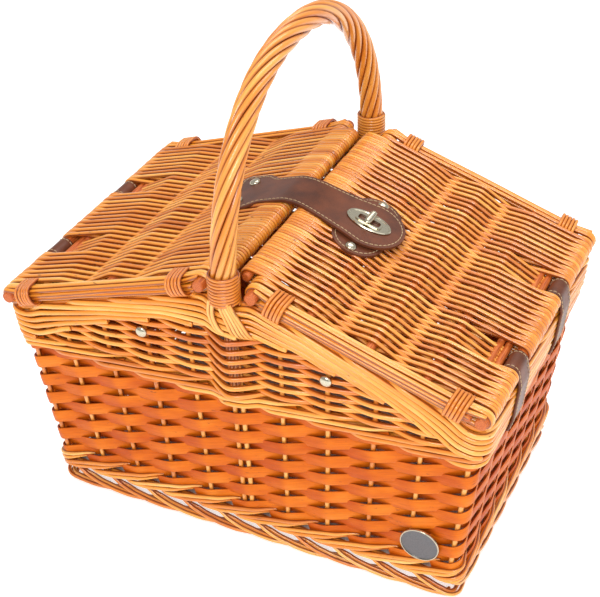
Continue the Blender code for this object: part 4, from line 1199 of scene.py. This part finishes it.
def badge():
    """Plain round plate with no marking, in a bright raised rim."""
    outer = BADGE_RADIUS
    inner = outer - 0.0011
    plate = [(0.0, 0.0012), (inner, 0.0012), (inner, 0.0), (0.0, 0.0)]
    ring = [(inner, 0.0), (inner, 0.0018), (outer - 0.0003, 0.0018), (outer, 0.0014), (outer, 0.0),
            (inner, 0.0)]
    spot = (BADGE_X, -(half_width(BADGE_Z) + 0.0006), BADGE_Z)
    matrix = frame_at(spot, (0.0, -1.0, -SIDE_LEAN), (0.0, 0.0, 1.0))
    for name, profile, look in (("badge_plain_plate", plate, "badge"), ("badge_rim", ring, "metal")):
        turned(name, profile, matrix, "badge_plate", steps=56, slot="badge_metal", look=look)


def latch_metal():
    """Rivets of the strap and the pad, the lock's post and plate, and its knob."""
    lock_u = LID_SPAN - LOCK_FROM_RIDGE
    for node, side, u, middle, reach, level, body in (
            ("latch_rivet", -1, LID_SPAN - LATCH_RIVET_FROM_RIDGE, STRAP_MID_Y, LATCH_RIVET_V,
             STRAP_BASE_LEVEL, "left_lid"),
            ("latch_pad_rivet", 1, lock_u, LOCK_Y, PAD_RIVET_V, PAD_LEVEL, "right_lid")):
        for label, way in (("front", -1), ("back", 1)):
            matrix = lid_frame(side, u, middle + way * reach, level + LEATHER)
            name = f"{node}_{label}"
            turned(name + "_dome", rivet_head(RIVET_RADIUS, 0.0034), matrix, name, body=body)
    top, base = KNOB_LEVEL - 0.0003, PAD_LEVEL + LEATHER
    post = [(0.0, top), (POST_RADIUS, top), (POST_RADIUS, base + 0.0012), (0.009, base + 0.0010),
            (0.009, base), (0.0, base)]
    turned("lock_post_metal", post, lid_frame(1, lock_u, LOCK_Y, 0.0), "lock_post", body="right_lid")
    slot_plate(lock_u)
    turn_knob(lock_u)


def rounded_box(half_x, half_y, angle):
    """Points of a rounded rectangle in the directions of the given angles."""
    power = 6.0
    c, s = np.cos(angle), np.sin(angle)
    r = (np.abs(c / half_x) ** power + np.abs(s / half_y) ** power) ** (-1.0 / power)
    return np.stack([r * c, r * s], 1)


def slot_plate(lock_u):
    """Oval plate with a rolled rim and a raised frame round its slot."""
    angle = np.linspace(0.0, 2 * pi, 64, endpoint=False)
    slot = rounded_box(SLOT_HALF[0] - 0.0004, SLOT_HALF[1] - 0.0004, angle)
    border = rounded_box(SLOT_HALF[0] + 0.0014, SLOT_HALF[1] + 0.0014, angle)
    loops = [(slot, 0.0), (slot, 0.0019), (border, 0.0019), (border, 0.0010)]
    for inset, height in ((0.0022, 0.0010), (0.0016, 0.0016), (0.0006, 0.0016), (0.0, 0.0009), (0.0, 0.0)):
        reach = np.array(PLATE_HALF) - inset
        loops.append((np.stack([np.cos(angle), np.sin(angle)], 1) * reach, height))
    rings = [[(x, y, height) for x, y in points] for points, height in loops]
    matrix = lid_frame(1, lock_u, LOCK_Y, TONGUE_LEVEL + LEATHER + 0.0003)
    metal_piece("latch_slot_plate_metal", rings, True, matrix, "latch_slot_plate", body="latch_tongue")


def turn_knob(lock_u):
    """Ridged bar with a base block, lying across the slot."""
    bundle = Bundle(81)
    half = KNOB_SIZE[1] / 2
    y = np.linspace(-half, half, 57)
    ridges = 1 + 0.06 * np.cos(2 * pi * y / 0.0019)
    shape = ridges * np.sqrt(np.clip(1 - (np.abs(y) / half) ** 6, 0.06, 1.0))
    path = lid_path(1, lock_u, LOCK_Y + y, KNOB_LEVEL + KNOB_SIZE[2] / 2)
    bundle.sweep(path, lid_normal(1), KNOB_SIZE[0] / 2 * shape, KNOB_SIZE[2] / 2 * shape, sides=16)
    levels = KNOB_LEVEL + np.array([-0.0002, 0.001, 0.002])
    bundle.sweep(lid_path(1, lock_u, LOCK_Y, levels), lid_along(1), 0.0042, 0.0036, sides=16)
    bundle.make("turn_knob_bar", "metal", "turn_knob", body="turn_knob", slot="nickel")


# ---------------------------------------------------------------- assembly and studio
def build():
    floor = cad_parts["base_floor"]
    floor.data.materials.clear()
    floor.data.materials.append(LOOKS["board"])
    wall_strips()
    wall_stakes()
    lower_wale()
    upper_wale()
    foot_border()
    for label, side in (("front", -1), ("back", 1)):
        gable(label, side)
        handle_binding(label, side)
    rim()
    handle()
    lid("left_lid", -1)
    lid("right_lid", 1)
    for label, side in (("left", -1), ("right", 1)):
        for end, y in zip(("front", "back"), STRAP_Y):
            hinge_strap(label, side, end, y)
    latch_strap()
    latch_pad()
    latch_metal()
    studs()
    badge()


def add_floor():
    mesh = bpy.data.meshes.new("studio_floor")
    size = 40.0
    corners = [(-size, -size, 0), (size, -size, 0), (size, size, 0), (-size, size, 0)]
    mesh.from_pydata(corners, [], [(0, 1, 2, 3)])
    floor = linked("studio_floor", mesh)
    floor.location.z = -0.0002
    mesh.materials.append(Look("studio_floor").finish({
        "Base Color": (0.93, 0.93, 0.93), "Roughness": 0.9, "Emission Color": (1.0, 1.0, 1.0),
        "Emission Strength": 0.45}))


def area_light(name, position, target, size, power):
    data = bpy.data.lights.new(name, "AREA")
    data.shape = "SQUARE"
    data.size = size
    data.energy = power
    light = linked(name, data)
    light.location = position
    light.rotation_mode = "QUATERNION"
    light.rotation_quaternion = (Vector(target) - Vector(position)).to_track_quat("-Z", "Y")


def studio():
    world = bpy.data.worlds.new("studio")
    bpy.context.scene.world = world
    world.use_nodes = True
    background = world.node_tree.nodes["Background"]
    background.inputs["Color"].default_value = (1.0, 1.0, 1.0, 1.0)
    background.inputs["Strength"].default_value = 0.58
    bpy.context.scene.view_settings.view_transform = "Standard"
    middle = (0.0, 0.0, 0.16)
    area_light("key", (0.45, -1.75, 1.9), middle, 1.0, 34)
    area_light("fill", (1.7, -1.0, 1.1), middle, 1.4, 5)
    area_light("top", (0.2, 0.6, 2.0), middle, 1.4, 20)
    add_floor()


def add_camera():
    """Three-quarter view from above the front right, with a slight roll."""
    azimuth, elevation, roll, distance = radians(25.85), radians(34.15), radians(-1.29), 1.318
    target = Vector((-0.0164, 0.0212, 0.1644))
    back = Vector((sin(azimuth) * cos(elevation), -cos(azimuth) * cos(elevation), sin(elevation)))
    data = bpy.data.cameras.new("camera")
    data.lens = 86.1
    data.sensor_width = 36.0
    camera = linked("camera", data)
    turn = (-back).to_track_quat("-Z", "Y").to_matrix().to_4x4() @ Matrix.Rotation(roll, 4, "Z")
    camera.matrix_world = Matrix.Translation(target + back * distance) @ turn
    bpy.context.scene.camera = camera


make_looks()
build()
studio()
add_camera()
